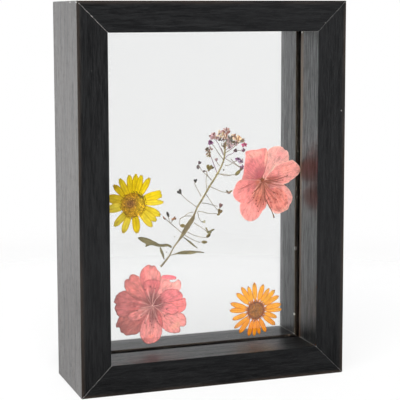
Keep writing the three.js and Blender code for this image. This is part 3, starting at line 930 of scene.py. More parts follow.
# Spots of rust on the yellow rays, for zoned().
RUST = (196, 120, 50)
RUST_SPOTS = [
    (RUST, (-10.6, 7.3), (1.5, 0.5), 40, 0.6, 0.75), (RUST, (-8.3, 9.0), (1.6, 0.4), 55, 0.6, 0.45),
    (RUST, (-12.6, 3.4), (1.6, 0.3), 10, 0.6, 0.45), (RUST, (-11.0, -1.6), (1.8, 0.25), 0, 0.6, 0.35),
    (RUST, (-8.2, -7.8), (0.8, 0.4), 50, 0.6, 0.35), (RUST, (-5.0, -12.4), (0.8, 0.5), 60, 0.6, 0.35),
]
YELLOW_WIDTH = 0.88  # width of a pressed ray, as a share of its CAD outline's
YELLOW_TEETH, ORANGE_TEETH = (3, 0.5), (2, 0.3)  # notches at a ray's tip, and their depth
YELLOW_NIBBLE, ORANGE_NIBBLE = (0.12, 1.2), (0.07, 1.1)  # amount and scale
YELLOW_STRIPE, ORANGE_STRIPE = 1.25, 0.9  # from one coloured furrow to the next
YELLOW_RIM, ORANGE_RIM_WIDTH = 0.46, 0.42  # widths of the darker rims


def yellow_daisy():
    """The sixteen yellow rays, each from its CAD outline."""
    material = dry_material("yellow_ray", veins=0.16, mottle=0.24, spread=30.0, lines=40.0)
    for number, (fresh, pale) in enumerate(zip(YELLOW_FRESH, YELLOW_PALE_AND_HIGHLIGHT), 1):
        node = f"yellow_daisy_ray_{number:02d}"
        plain = outline_of(node)
        root, tip = ends_of(plain, YELLOW_CENTRE)
        outline = slimmed(resampled(plain, 0.3), root, tip, YELLOW_WIDTH)
        outline = nibbled(toothed(outline, root, tip, *YELLOW_TEETH), root, *YELLOW_NIBBLE, number)
        sheet = Sheet(outline, 0.34, root, tip)
        share = sheet.share
        tint = blended(sheet.all_of(OCHRE), np.full(len(share), fresh), BRIGHT_YELLOW)
        tint = blended(tint, 0.55 * eased((0.35 - share) / 0.35), OCHRE * 0.8)
        greening = (0.75 - 0.4 * fresh) * (1 - 0.6 * pale)
        tint = blended(tint, greening * eased((share - 0.8) / 0.2), GREEN_TIP)
        # Paler outer part of the ray: partly faded colour, partly a painted highlight.
        tint = blended(tint, 0.75 * pale * eased((share - 0.1) / 0.4), PALE_YELLOW_AND_HIGHLIGHT)
        furrow = stripes(sheet, YELLOW_STRIPE, 0.8 * mottled(sheet.flat, 3.0, number))
        tint = blended(tint, (0.42 - 0.24 * pale) * furrow, GOLDEN_RIM)
        tint = blended(tint, (0.80 - 0.35 * pale) * sheet.rim(YELLOW_RIM), GOLDEN_RIM * 0.88)
        tint = zoned(tint, sheet.flat, YELLOW_CENTRE, RUST_SPOTS)
        pressed_node(node, sheet, ray_relief(sheet, number), tint, material)


# Rays of the orange daisy: angle in degrees, reach from the centre and width in millimetres.
ORANGE_RAYS = [
    (93, 14.0, 2.3), (72, 13.4, 2.4), (57, 12.8, 2.1), (42, 13.9, 2.4), (28, 13.9, 2.5), (10, 13.8, 2.6),
    (357, 14.0, 2.3), (340, 12.3, 2.2), (323, 13.2, 2.5), (296, 12.6, 2.3), (280, 12.6, 2.0),
    (266, 12.9, 2.1), (252, 13.2, 2.3), (231, 13.7, 2.6), (216, 13.9, 2.1), (197, 12.8, 2.3),
    (175, 13.6, 2.6), (162, 14.1, 2.5), (136, 13.7, 2.6), (121, 14.2, 2.4), (109, 12.9, 2.0),
]
ORANGE_ROOT = 3.9
ORANGE_LAYERS = (-0.16, 0.0, 0.16)
ORANGE = srgb(255, 200, 34)
DEEP_ORANGE = srgb(248, 162, 16)
ORANGE_RIM = srgb(226, 110, 12)
ORANGE_ROOT_COLOR = srgb(196, 104, 24)
OLIVE_BROWN = srgb(150, 116, 50)
# Half width of an orange ray at shares of its length, as a share of its largest half width.
ORANGE_PROFILE = [
    (0, 0.56), (0.07, 0.46), (0.14, 0.40), (0.23, 0.78), (0.36, 1.02), (0.58, 1.06), (0.78, 0.94),
    (0.91, 0.70), (1, 0.32),
]
ORANGE_SLIMNESS = 0.5  # half width for each millimetre of width


def orange_outline(angle, reach, width, bend):
    """The outline, root and tip of an orange ray whose tip is bent aside by that much."""
    axis, side = heading(angle)
    left, right = [], []
    for share, half in ORANGE_PROFILE:
        at = ORANGE_CENTRE + axis * (ORANGE_ROOT + share * (reach - ORANGE_ROOT))
        at = at + side * bend * share * share
        left.append(at + side * half * width * ORANGE_SLIMNESS)
        right.append(at - side * half * width * ORANGE_SLIMNESS)
    outline = np.array(right + left[::-1])
    return outline, ORANGE_CENTRE + axis * ORANGE_ROOT, ORANGE_CENTRE + axis * reach + side * bend


def orange_daisy():
    """The twenty-one orange rays, which have no CAD nodes."""
    material = dry_material("orange_ray", veins=0.14, mottle=0.24, spread=30.0, lines=44.0)
    draw = random.Random(11)
    for number, (angle, reach, width) in enumerate(ORANGE_RAYS, 1):
        plain, root, tip = orange_outline(angle, reach, width, draw.uniform(-0.35, 0.35))
        outline = toothed(resampled(plain, 0.25), root, tip, *ORANGE_TEETH)
        sheet = Sheet(nibbled(outline, root, *ORANGE_NIBBLE, 40 + number), 0.28, root, tip)
        share = sheet.share
        low = eased((ORANGE_CENTRE[1] - sheet.flat[:, 1]) / 8.0)
        tint = blended(sheet.all_of(ORANGE), 0.60 * low + draw.uniform(0, 0.40), DEEP_ORANGE)
        tint = blended(tint, draw.uniform(0.45, 0.90) * eased((share - 0.86) / 0.14), OLIVE_BROWN)
        tint = blended(tint, 0.42 * stripes(sheet, ORANGE_STRIPE), ORANGE_RIM)
        tint = blended(tint, 0.80 * sheet.rim(ORANGE_RIM_WIDTH), ORANGE_RIM * 0.70)
        tint = blended(tint, 0.65 * eased((0.22 - share) / 0.2), ORANGE_ROOT_COLOR)
        y = ORANGE_LAYERS[number % 3] if number < len(ORANGE_RAYS) else ORANGE_LAYERS[2]
        relief = ray_relief(sheet, 60 + number)
        piece = sheet_object(f"orange_daisy_ray_{number:02d}", sheet, y, relief, tint, material)


GOLDEN_ANGLE = math.pi * (3 - math.sqrt(5))
FLORET_SIDES = 7
FLORET_RINGS = ((1.0, 0.0), (0.86, 0.55), (0.5, 0.85))  # radius and height of each, as shares
FLORET_PAINTED_SHADING = (0.72, 0.92, 1.08, 0.88)  # brightness of the rings and of the middle: painted shade at each floret's foot, a painted highlight on its raised ring, and a darker middle
DISC_BASE = 0.07  # how far in front of the CAD disc's back the florets start
DISC_SPREAD = 0.96  # share of the disc's size over which they lie
DISC_JITTER = (-0.06, 0.06)  # how far they are off their places
FLORET_SIZE = 0.54  # radius of a floret, as a share of the spacing of even ones
FLORET_HEIGHTS, FLORET_TONES = (0.55, 1.0), (0.6, 1.45)


def disc_floret(heap, x, z, y, radius, height, tint, turn):
    """One disc floret pressed flat: a low cup with a raised middle."""
    n = FLORET_SIDES
    points, faces = [], []
    for ring, rise in FLORET_RINGS:
        for k in range(n):
            a = turn + 2 * math.pi * k / n
            lobe = 1 + 0.12 * math.cos(n * (a - turn)) * (ring < 1)
            side, up = radius * ring * lobe * math.cos(a), radius * ring * math.sin(a)
            points.append((x + side, y - height * rise, z + up))
    points.append((x, y - height, z))
    for k in range(n):
        j = (k + 1) % n
        faces += [(k, j, j + n, k + n), (k + n, j + n, j + 2 * n, k + 2 * n), (k + 2 * n, j + 2 * n, 3 * n)]
    faces.append(tuple(reversed(range(n))))
    # Painted shade at the floret's foot and a painted highlight on its raised ring.
    shade = np.repeat(FLORET_PAINTED_SHADING, (n, n, n, 1))
    heap.add(np.asarray(tint)[None] * shade[:, None], points, faces)


def disc(node, centre, size, count, color_at, seed, slot, material):
    """A head of florets in spirals over a thin round base."""
    heap = Heap()
    draw = random.Random(seed)
    front, back = box_mm(node)[0][1], box_mm(node)[1][1]
    rim = ellipse(centre, np.array(size) * 0.985, 72)
    base = puffed(rim, back - 0.05, 0.06, 0.6, centre, centre + (size[0], 0.0))
    # The base has half the disc's colour: painted shade where it shows between the florets.
    heap.add(color_at(base[0][:, [0, 2]] - centre) * 0.5, *base)
    for i in range(count):
        share = math.sqrt((i + 0.5) / count)
        a = i * GOLDEN_ANGLE
        x = centre[0] + size[0] * DISC_SPREAD * share * math.cos(a) + draw.uniform(*DISC_JITTER)
        z = centre[1] + size[1] * DISC_SPREAD * share * math.sin(a) + draw.uniform(*DISC_JITTER)
        radius = FLORET_SIZE * size[0] * math.sqrt(math.pi / count) * (0.8 + 0.35 * share)
        height = (back - DISC_BASE - front) * draw.uniform(*FLORET_HEIGHTS)
        tint = color_at(np.array([[x - centre[0], z - centre[1]]]))[0] * draw.uniform(*FLORET_TONES)
        tint = tint * (1 + 0.5 * noise.noise(Vector((x / 0.9, z / 0.9, seed))))
        disc_floret(heap, x, z, back - DISC_BASE, radius, height, tint, draw.uniform(0, 1))
    heap.make(f"pressed_{node}", material, node)


# Zones of the yellow disc over its main colour, for zoned().
YELLOW_DISC = srgb(196, 150, 30)
YELLOW_DISC_ZONES = [
    ((218, 182, 36), (3.4, -0.5), (2.6, 4.4), 0, 0.5, 0.8),
    ((180, 128, 54), (-1.2, 0.8), (3.2, 3.0), 0, 0.4, 0.7),
    ((158, 110, 62), (-1.3, 0.6), (1.9, 1.7), 0, 0.4, 1.0),
    ((180, 132, 18), (0.4, 4.6), (3.4, 1.2), 0, 0.6, 0.6),
    ((96, 88, 30), (3.9, 3.9), (2.4, 0.8), -45, 0.6, 0.7),
    ((110, 96, 34), (-3.6, -4.2), (2.4, 0.7), 135, 0.6, 0.4),
]


def yellow_disc_color(points):
    return zoned(np.tile(YELLOW_DISC, (len(points), 1)), points, (0, 0), YELLOW_DISC_ZONES)


def orange_disc_color(points):
    """Rings of brown, darker outside and in the middle."""
    far = np.linalg.norm(points, axis=1)
    tint = np.tile(srgb(170, 106, 30), (len(points), 1))
    tint = blended(tint, 0.35 * (0.5 + 0.5 * np.cos(far * 2 * math.pi / 1.3)), srgb(136, 78, 22))
    tint = blended(tint, eased((far - 2.9) / 1.4), srgb(132, 62, 16))
    return blended(tint, 0.7 * eased((1.1 - far) / 0.8), srgb(132, 80, 26))


BITS_Y = -0.27  # y of the scales that lie deepest
BRACTS = 13  # of each involucre


def rim_bits(name, centre, radii, lengths, count, lean, dark_way, colors, seed, material):
    """Small dry scales around a disc, darker on the side of dark_way (degrees)."""
    heap = Heap()
    draw = random.Random(seed)
    for i in range(count):
        angle = 360 * (i + draw.uniform(-0.4, 0.4)) / count
        at = centre + heading(angle)[0] * draw.uniform(*radii)
        step = heading(angle + lean + draw.uniform(-35, 35))[0] * draw.uniform(*lengths) / 2
        path = raised([at - step, at, at + step], BITS_Y - draw.uniform(0, 0.05))
        bit = strand(path, [0.08, draw.uniform(0.13, 0.22), 0.05], 0.035, 6)
        dark = max(0.0, math.cos(math.radians(angle - dark_way))) ** 2
        tint = colors[0] * (1 - dark) + colors[1] * dark
        heap.add(tint * draw.uniform(0.7, 1.5), *bit)
    heap.make(name, material)


def involucre(node, centre, material):
    """The green bracts behind a daisy, as one ribbed sheet."""
    sheet = Sheet(resampled(outline_of(node), 0.5), 0.6, centre, centre + (1.0, 0.0))
    relief = RELIEF * np.cos(BRACTS * np.arctan2(sheet.across, sheet.along))
    pressed_node(node, sheet, relief, sheet.all_of(srgb(120, 124, 60)), material)


# Node, centre, half size, number of florets, colours, seed and slot of each disc.
DISCS = (
    ("yellow_daisy_disc", YELLOW_CENTRE, (6.0, 5.9), 250, yellow_disc_color, 3, "yellow_disc"),
    ("orange_daisy_disc", ORANGE_CENTRE, (4.5, 4.4), 240, orange_disc_color, 4, "orange_disc"),
)
# The scales around each disc: name, centre, nearest and farthest, shortest and longest, number, lean
# and dark side in degrees, light and dark colour, and seed.
RIM_BITS = (
    ("yellow_daisy_rim_bits", YELLOW_CENTRE, (5.4, 6.7), (0.6, 1.3), 84, 60, 45,
     (srgb(176, 138, 30), srgb(90, 82, 28)), 31),
    ("orange_daisy_rim_bits", ORANGE_CENTRE, (4.3, 5.3), (0.8, 1.6), 60, 0, 300,
     (srgb(188, 100, 26), srgb(152, 76, 22)), 32),
)


def daisies():
    yellow_daisy()
    orange_daisy()
    floret = dry_material("disc_floret", veins=0.0, mottle=0.5, thin=0.2, shine=0.15)
    for values in DISCS:
        disc(*values, floret)
    scale = dry_material("disc_scale", veins=0.1, mottle=0.3)
    for values in RIM_BITS:
        rim_bits(*values, scale)
    bract = dry_material("bract", veins=0.15, mottle=0.3)
    involucre("yellow_daisy_involucre", YELLOW_CENTRE, bract)
    involucre("orange_daisy_involucre", ORANGE_CENTRE, bract)


# ---- Blossoms ----

LOWER_CENTRE = np.array([-24.8, 35.4])
UPPER_CENTRE = np.array([32.5, 93.7])
BROWN_EDGE = srgb(150, 84, 76)
CREAM_EDGE = srgb(255, 214, 200)
STAR, MAUVE = (140, 84, 84), (190, 92, 112)

# Each petal: colour at the root and at the tip, weight of its rim, nibble of its edge, and zones of
# other colours, for zoned().
LOWER_LOOKS = {
    "top": ((228, 132, 130), (238, 156, 150), 0.45, 0.16, [
        ((216, 116, 119), (-4.6, 12.5), (1.0, 5.0), 0, 0.6, 0.6),
        ((246, 178, 170), (0.6, 15.0), (2.6, 2.2), 0, 0.7, 0.6),
    ]),
    "upper_right": ((235, 150, 149), (250, 180, 173), 0.35, 0.14, [
        ((253, 133, 148), (9.0, 13.4), (4.2, 0.9), -6, 0.4, 0.9),
        ((255, 202, 188), (11.5, 9.6), (2.2, 1.6), 0, 0.6, 0.6),
    ]),
    "right_high": ((228, 133, 137), (241, 146, 148), 0.55, 0.12, [
        ((218, 117, 124), (14.2, 5.0), (1.6, 1.2), -60, 0.6, 0.5),
    ]),
    "right": ((233, 135, 136), (247, 149, 147), 0.55, 0.30, [
        ((247, 166, 155), (10.4, -2.0), (3.0, 1.2), 0, 0.6, 0.5),
    ]),
    "lower_right": ((232, 134, 130), (244, 169, 162), 0.55, 0.28, [
        ((247, 189, 162), (12.0, -10.6), (2.6, 1.4), 30, 0.6, 0.7),
        ((246, 168, 160), (9.4, -8.0), (3.6, 2.0), -35, 0.6, 0.4),
    ]),
    "bottom": ((226, 130, 126), (243, 167, 162), 0.6, 0.18, [
        ((250, 151, 116), (-0.6, -14.6), (1.6, 1.0), 0, 0.7, 0.6),
        ((247, 174, 166), (-0.6, -12.2), (3.2, 2.4), 0, 0.7, 0.7),
        ((196, 114, 110), (-3.4, -16.6), (1.8, 1.2), 0, 0.6, 0.5),
    ]),
    "lower_left": ((211, 111, 107), (211, 130, 122), 0.7, 0.38, [
        ((188, 105, 99), (-14.5, -9.6), (2.4, 3.4), 30, 0.7, 0.6),
    ]),
    "left": ((218, 117, 117), (224, 137, 134), 0.65, 0.42, [
        ((203, 115, 115), (-16.4, 2.0), (1.6, 3.0), 0, 0.7, 0.5),
    ]),
    "upper_left": ((224, 127, 126), (236, 149, 141), 0.6, 0.36, [
        ((209, 122, 120), (-11.4, 12.6), (2.4, 1.6), 40, 0.7, 0.5),
    ]),
    "inner_top": ((197, 108, 109), (233, 133, 134), 0.6, 0.10, [
        (STAR, (0.4, 3.4), (2.4, 3.6), 0, 0.6, 0.8),
        ((227, 161, 157), (-1.8, 7.6), (0.35, 3.6), 12, 0.6, 0.6),
    ]),
    "inner_right": ((201, 116, 119), (248, 156, 156), 0.6, 0.10, [
        (STAR, (3.0, -0.6), (2.6, 1.6), 0, 0.6, 0.7),
    ]),
    "inner_bottom": ((176, 99, 97), (233, 129, 127), 0.6, 0.10, [
        (STAR, (1.0, -4.2), (1.3, 3.0), 10, 0.6, 0.8),
    ]),
    "inner_left": ((220, 136, 131), (242, 157, 151), 0.6, 0.10, [
        (STAR, (-2.6, 0.0), (2.0, 1.6), 0, 0.6, 0.6),
    ]),
}
UPPER_LOOKS = {
    "upper_left": ((202, 116, 119), (243, 166, 160), 0.1, 0.06, [
        ((250, 190, 178), (-4.4, 12.6), (4.4, 1.7), 10, 0.3, 0.9),
        ((255, 211, 188), (1.6, 10.6), (0.6, 3.6), -8, 0.5, 0.8),
        ((228, 136, 142), (-6.6, 6.6), (3.0, 3.6), -20, 0.5, 0.6),
        ((188, 104, 116), (-1.9, 2.6), (2.2, 3.0), -20, 0.6, 0.6),
    ]),
    "upper_right": ((236, 168, 161), (241, 192, 183), 0.8, 0.12, [
        ((247, 221, 203), (4.6, 4.4), (3.6, 0.5), 52, 0.6, 0.9),
        ((244, 163, 162), (9.6, 11.6), (2.6, 2.2), 0, 0.8, 0.5),
    ]),
    "right": ((230, 148, 141), (245, 178, 169), 0.8, 0.12, [
        ((214, 118, 124), (5.6, 0.8), (4.0, 1.0), 20, 0.7, 0.3),
        ((255, 184, 168), (12.4, 4.6), (3.2, 2.0), 30, 0.7, 0.5),
    ]),
    "lower_right": ((216, 138, 130), (240, 183, 174), 0.8, 0.14, [
        ((252, 202, 178), (10.6, -14.8), (2.4, 1.4), 20, 0.6, 0.6),
    ]),
    "inner_right": ((218, 128, 114), (241, 165, 150), 0.5, 0.10, [
        (MAUVE, (4.0, -4.6), (1.7, 1.5), 0, 0.5, 0.6),
        ((214, 122, 100), (8.6, -9.6), (3.2, 0.5), -52, 0.7, 0.6),
        ((214, 122, 100), (5.6, -9.6), (3.2, 0.5), -66, 0.7, 0.6),
        ((202, 112, 94), (7.6, -6.4), (1.8, 0.5), -35, 0.8, 0.6),
        ((202, 112, 94), (4.6, -8.0), (1.6, 0.6), -60, 0.8, 0.6),
    ]),
    "bottom": ((206, 118, 106), (245, 171, 165), 0.6, 0.10, [
        ((221, 130, 108), (-2.2, -9.0), (2.6, 5.0), 15, 0.7, 0.6),
        ((250, 183, 173), (-7.0, -15.6), (3.4, 2.6), 40, 0.8, 0.5),
    ]),
    "left": ((204, 112, 114), (243, 163, 158), 0.4, 0.10, [
        ((250, 172, 166), (-10.6, -6.0), (2.4, 3.0), 0, 0.8, 0.4),
        ((160, 80, 74), (-9.1, -3.0), (3.7, 0.3), 22, 0.6, 0.8),
    ]),
}

# The dark heart of each blossom, over all its petals, for zoned().
HEARTS = {
    "lower_blossom": [
        ((142, 80, 78), (0.9, 1.8), (4.6, 3.1), 0, 0.6, 0.88),
        ((142, 82, 78), (0.5, -4.4), (2.0, 3.6), 0, 0.6, 0.78),
        ((150, 84, 82), (-2.8, -0.4), (2.6, 1.6), 0, 0.6, 0.5),
        ((172, 106, 102), (5.0, 0.2), (2.4, 0.8), 0, 0.6, 0.5),
        ((178, 110, 106), (-4.6, 3.6), (3.0, 1.0), -35, 0.6, 0.5),
        ((176, 110, 106), (-0.9, 6.6), (0.6, 2.6), 8, 0.6, 0.4),
        ((252, 196, 184), (-4.4, -1.2), (3.2, 0.42), 12, 0.6, 0.8),
        ((252, 196, 184), (-4.8, -3.4), (3.4, 0.36), 38, 0.6, 0.75),
        ((252, 200, 188), (-2.4, -5.4), (0.4, 3.4), -20, 0.6, 0.75),
        ((250, 188, 178), (-4.0, 1.6), (3.4, 0.32), -22, 0.6, 0.6),
        ((250, 188, 178), (-1.6, 5.6), (0.34, 3.2), 16, 0.6, 0.6),
        ((176, 98, 90), (-8.4, 5.0), (2.6, 0.8), -35, 0.6, 0.5),
        ((180, 102, 94), (-9.4, 1.6), (2.6, 0.5), -10, 0.6, 0.4),
        ((176, 98, 90), (-9.4, -1.9), (3.0, 0.5), 10, 0.6, 0.45),
        ((172, 92, 88), (-5.6, -7.8), (0.5, 3.0), -32, 0.6, 0.35),
        ((248, 184, 176), (0.9, 5.4), (0.34, 3.0), -10, 0.6, 0.5),
        ((248, 184, 176), (5.4, -3.4), (3.0, 0.34), -32, 0.6, 0.55),
        ((248, 184, 176), (2.4, -6.0), (0.34, 2.8), 22, 0.6, 0.5),
    ],
    "upper_blossom": [
        ((196, 104, 112), (-1.0, 1.8), (1.9, 2.5), -10, 0.6, 0.6),
        ((196, 128, 96), (-0.6, -2.0), (3.4, 2.4), 0, 0.6, 0.6),
        ((186, 112, 78), (0.2, -0.8), (3.6, 1.6), 0, 0.6, 0.8),
        ((156, 84, 70), (4.4, 0.5), (4.2, 0.7), 4, 0.6, 0.75),
        ((170, 88, 80), (5.4, -1.0), (4.0, 0.4), -16, 0.6, 0.6),
        ((190, 108, 88), (-3.4, -5.2), (0.9, 4.4), -28, 0.6, 0.55),
        ((190, 108, 88), (-1.2, -6.2), (0.8, 4.4), -6, 0.6, 0.55),
        ((250, 190, 166), (-2.6, -4.9), (0.32, 2.8), -28, 0.6, 0.65),
        ((250, 190, 166), (-1.5, -5.2), (0.30, 2.8), -16, 0.6, 0.6),
        ((250, 190, 166), (-3.7, -4.2), (0.30, 2.4), -41, 0.6, 0.6),
        ((250, 190, 166), (-0.4, -5.2), (0.28, 2.4), -5, 0.6, 0.5),
        ((242, 176, 148), (-4.9, -6.4), (0.36, 2.8), -38, 0.6, 0.6),
        ((242, 176, 148), (-3.3, -7.4), (0.36, 3.0), -25, 0.6, 0.6),
        ((242, 176, 148), (-1.6, -8.0), (0.34, 3.0), -11, 0.6, 0.6),
        ((242, 176, 148), (0.3, -7.8), (0.34, 2.8), 2, 0.6, 0.5),
    ],
}

FRECKLE = srgb(196, 98, 92)
FAINT_FRECKLES = 0.16  # how strongly they show on most petals, and on the others:
FRECKLES = {
    "upper_blossom_petal_inner_right": 0.55, "lower_blossom_petal_lower_left": 0.20,
    "lower_blossom_petal_inner_left": 0.25, "lower_blossom_petal_left": 0.18,
}


def petal_relief(sheet, seed):
    """A fan of shallow pleats from the root, wider waves, and a slightly curled rim."""
    angle = np.arctan2(sheet.across, sheet.along + 2.0)
    pleats = np.sin(angle * 30 + 2.0 * mottled(sheet.flat, 5.0, seed + 3))
    wave = mottled(sheet.flat, 3.2, seed)
    return RELIEF * (0.5 * pleats * eased(sheet.edge / 0.6) + 0.9 * wave - 0.4 * sheet.rim(0.7))


PETAL_CLEAR = 4.5  # reach from the blossom's centre within which a petal's edge is even
FRECKLE_SIZE = 1.2
FRECKLE_START, FRECKLE_RISE = 0.10, 0.3  # noise where a freckle begins, and how much more fills it


def blossom(prefix, centre, looks, rim_color, rim_width, material):
    """The petals of one blossom, each from its CAD outline."""
    for number, (petal, look) in enumerate(looks.items()):
        at_root, at_tip, rim_weight, nibble, zones = look
        node = f"{prefix}_petal_{petal}"
        plain = outline_of(node)
        outline = nibbled(resampled(plain, 0.36), centre, nibble, 1.3, 20 + number, PETAL_CLEAR)
        sheet = Sheet(outline, 0.42, centre, plain.mean(0))
        tint = blended(sheet.all_of(srgb(*at_root)), eased(sheet.share / 0.75), srgb(*at_tip))
        tint = zoned(tint, sheet.flat, centre, zones + HEARTS[prefix])
        tint = blended(tint, rim_weight * sheet.rim(rim_width), rim_color)
        tint = tint * (1.05 + 0.10 * mottled(sheet.flat, 2.0, number))[:, None]
        freckle = eased((mottled(sheet.flat, FRECKLE_SIZE, number + 0.5) - FRECKLE_START) / FRECKLE_RISE)
        tint = blended(tint, FRECKLES.get(node, FAINT_FRECKLES) * freckle, FRECKLE)
        pressed_node(node, sheet, petal_relief(sheet, number), tint, material)


def calyx(prefix, centre, colors, material):
    """The star of sepals behind a blossom, from one colour in the middle to the other outside."""
    node = f"{prefix}_calyx"
    sheet = Sheet(resampled(outline_of(node), 0.3), 0.4, centre, centre + (1.0, 0.0))
    far = np.linalg.norm(sheet.flat - centre, axis=1)
    tint = blended(sheet.all_of(colors[0]), eased(far / 5.0), colors[1])
    pressed_node(node, sheet, RELIEF * mottled(sheet.flat, 1.2, 5.0), tint, material)


# Stamens: where each filament ends, from the blossom's centre, and how far its middle bows aside.
LOWER_STAMENS = [
    ((-6.0, 4.8), 0.6), ((-9.0, 2.2), 0.5), ((-0.7, 9.5), -0.4), ((-7.5, -1.7), -0.5), ((-1.0, -7.3), 0.3),
    ((-0.3, -9.2), -0.5), ((6.3, -5.3), 0.5), ((6.0, 1.4), -0.5), ((-3.4, 8.2), 0.7), ((1.6, 8.4), 0.4),
    ((-5.6, -4.4), 0.6), ((-3.6, -8.0), -0.6), ((2.6, -7.8), 0.4), ((4.4, 5.4), 0.5), ((-8.4, 0.4), 0.4),
    ((-6.6, -6.6), -0.4), ((7.4, -2.0), 0.4), ((0.8, -10.6), 0.5),
]
UPPER_STAMENS = [
    ((-3.7, -10.1), 0.9), ((-3.9, -11.8), 1.3), ((-2.5, -15.5), 1.4), ((0.0, -12.3), 0.9),
    ((12.6, 1.3), -0.7), ((10.4, -0.7), -0.5), ((5.6, -6.7), -0.6), ((9.3, -8.0), -0.9),
    ((-5.2, -8.6), 1.0), ((-5.8, -6.4), 0.7), ((-1.4, -9.8), 0.8), ((1.2, -10.8), 0.5),
    ((2.8, -9.4), -0.3), ((7.6, -7.4), -0.8), ((4.0, -11.4), -0.5), ((11.6, -3.4), -0.6),
    ((-3.0, -13.0), 1.2), ((6.8, -10.2), -0.8), ((-4.6, -5.4), 0.6),
]
LOWER_START, UPPER_START = np.array([0.2, 0.0]), np.array([-0.4, -0.6])  # where the filaments meet
FILAMENT_Y = -0.34
FILAMENT_TIP = 0.08  # half width of a filament at its end
KNOB = (0.42, 0.36)  # half size of the knob in the middle
# An anther: places along its half length, with the half width and the half depth there.
ANTHER = ((-1, 0.06, 0.02), (-0.6, 0.22, 0.07), (0, 0.27, 0.08), (0.6, 0.22, 0.07), (1, 0.06, 0.02))
# Colours of a blossom's filaments, palest and darkest, of its anthers and of the knob in its middle.
LOWER_STAMEN_COLORS = (srgb(244, 188, 178), srgb(186, 116, 110), srgb(128, 52, 50), srgb(252, 206, 196))
UPPER_STAMEN_COLORS = (srgb(228, 150, 128), srgb(150, 86, 68), srgb(140, 60, 52), srgb(158, 92, 68))


def stamens(prefix, centre, ends, start, thickness, colors, seed, material):
    """Curved filaments with an anther at the end of each, around a small knob."""
    heap = Heap()
    draw = random.Random(seed)
    palest, darkest, anther_color, knob_color = colors
    places, widths, depths = zip(*ANTHER)
    shares = np.linspace(0, 1, 9)
    for end, bow in ends:
        way = np.array(end) - start
        side = directions(start, np.array(end))[1]
        y = FILAMENT_Y - draw.uniform(0.0, 0.12)
        line = [centre + start + way * s + side * bow * math.sin(math.pi * s) for s in shares]
        share = draw.uniform(0.0, 1.0)
        filament = strand(raised(line, y), np.linspace(thickness, FILAMENT_TIP, len(line)), 0.05, 6)
        heap.add(palest * share + darkest * (1 - share), *filament)
        half = heading(draw.uniform(0, 180))[0] * draw.uniform(0.32, 0.46)
        anther = strand(raised([line[-1] + half * place for place in places], y), widths, depths)
        heap.add(anther_color * draw.uniform(0.9, 1.9), *anther)
    knob = puffed(ellipse(centre + start, KNOB), FILAMENT_Y - 0.1, 0.1, 0.15, centre, line[-1])
    heap.add(knob_color, *knob)
    heap.make(f"{prefix}_stamens", material)


def spine_of(node):
    """The centre line of a ribbon node, as rows of x, z and half width."""
    outline = outline_of(node)
    count = len(outline)

    def pairs(start):
        """The points that face each other across the ribbon, if one end of it lies before start."""
        return [(outline[(start + k) % count], outline[start - 1 - k]) for k in range(count // 2)]

    start = min(range(count), key=lambda s: sum(np.linalg.norm(a - b) for a, b in pairs(s)))
    return np.array([(*(a + b) / 2, np.linalg.norm(a - b) / 2) for a, b in pairs(start)])


def pistil(material):
    """The ribbed style that hangs below the upper blossom's petals."""
    node = "upper_blossom_pistil"
    rows = spine_of(node)
    if np.linalg.norm(rows[0, :2] - UPPER_CENTRE) > np.linalg.norm(rows[-1, :2] - UPPER_CENTRE):
        rows = rows[::-1]
    rows = resampled(rows, 0.4, closed=False)
    share = np.linspace(0, 1, len(rows))
    tint = blended(np.tile(srgb(136, 74, 58), (len(rows), 1)), share, srgb(120, 88, 62))
    heap = Heap()
    heap.add(np.repeat(tint, 8, 0), *strand(raised(rows, middle_y(node)), rows[:, 2], 0.08, 8, 4, 0.06))
    heap.make(f"pressed_{node}", material, node)


# Blossom, centre, ends, start, half width at the start, colours and seed of each group of stamens.
STAMEN_GROUPS = (
    ("lower_blossom", LOWER_CENTRE, LOWER_STAMENS, LOWER_START, 0.20, LOWER_STAMEN_COLORS, 7),
    ("upper_blossom", UPPER_CENTRE, UPPER_STAMENS, UPPER_START, 0.30, UPPER_STAMEN_COLORS, 8),
)


def blossoms():
    pink = dry_material("pink_petal", veins=0.20, mottle=0.44, spread=2.0, lines=9.0, thin=0.45)
    salmon = dry_material("salmon_petal", veins=0.18, mottle=0.40, spread=2.0, lines=9.0, thin=0.45)
    blossom("lower_blossom", LOWER_CENTRE, LOWER_LOOKS, BROWN_EDGE, 0.5, pink)
    blossom("upper_blossom", UPPER_CENTRE, UPPER_LOOKS, CREAM_EDGE, 0.8, salmon)
    sepal = dry_material("sepal", veins=0.15, mottle=0.3, thin=0.2)
    calyx("lower_blossom", LOWER_CENTRE, (srgb(110, 60, 62), srgb(150, 84, 84)), sepal)
    calyx("upper_blossom", UPPER_CENTRE, (srgb(150, 92, 60), srgb(150, 76, 84)), sepal)
    thread = dry_material("filament", veins=0.0, mottle=0.3, thin=0.3)
    for values in STAMEN_GROUPS:
        stamens(*values, thread)
    pistil(sepal)


# ---- Sprig ----
# Points of the sprig are (x, z) in the frame's own axes, in millimetres.

STALK_HALF = 0.17  # half width of a flower stalk
STALK_Y, POD_Y, FLORET_Y = 0.02, -0.12, -0.16
POD_THICKNESS, SPECK_THICKNESS, FLORET_THICKNESS = 0.34, 0.20, 0.12
FLORET_SLIMNESS = (0.35, 0.6)  # width of a floret as a share of its length
LEAF_HALF = 0.04  # half the thickness of a leaf
LEAF_FOOT = np.array([-14.0, 64.0])  # on the stem, where the leaves come from
STALK_COLOR = srgb(150, 140, 122)
MAUVE_STALK = srgb(142, 112, 128)

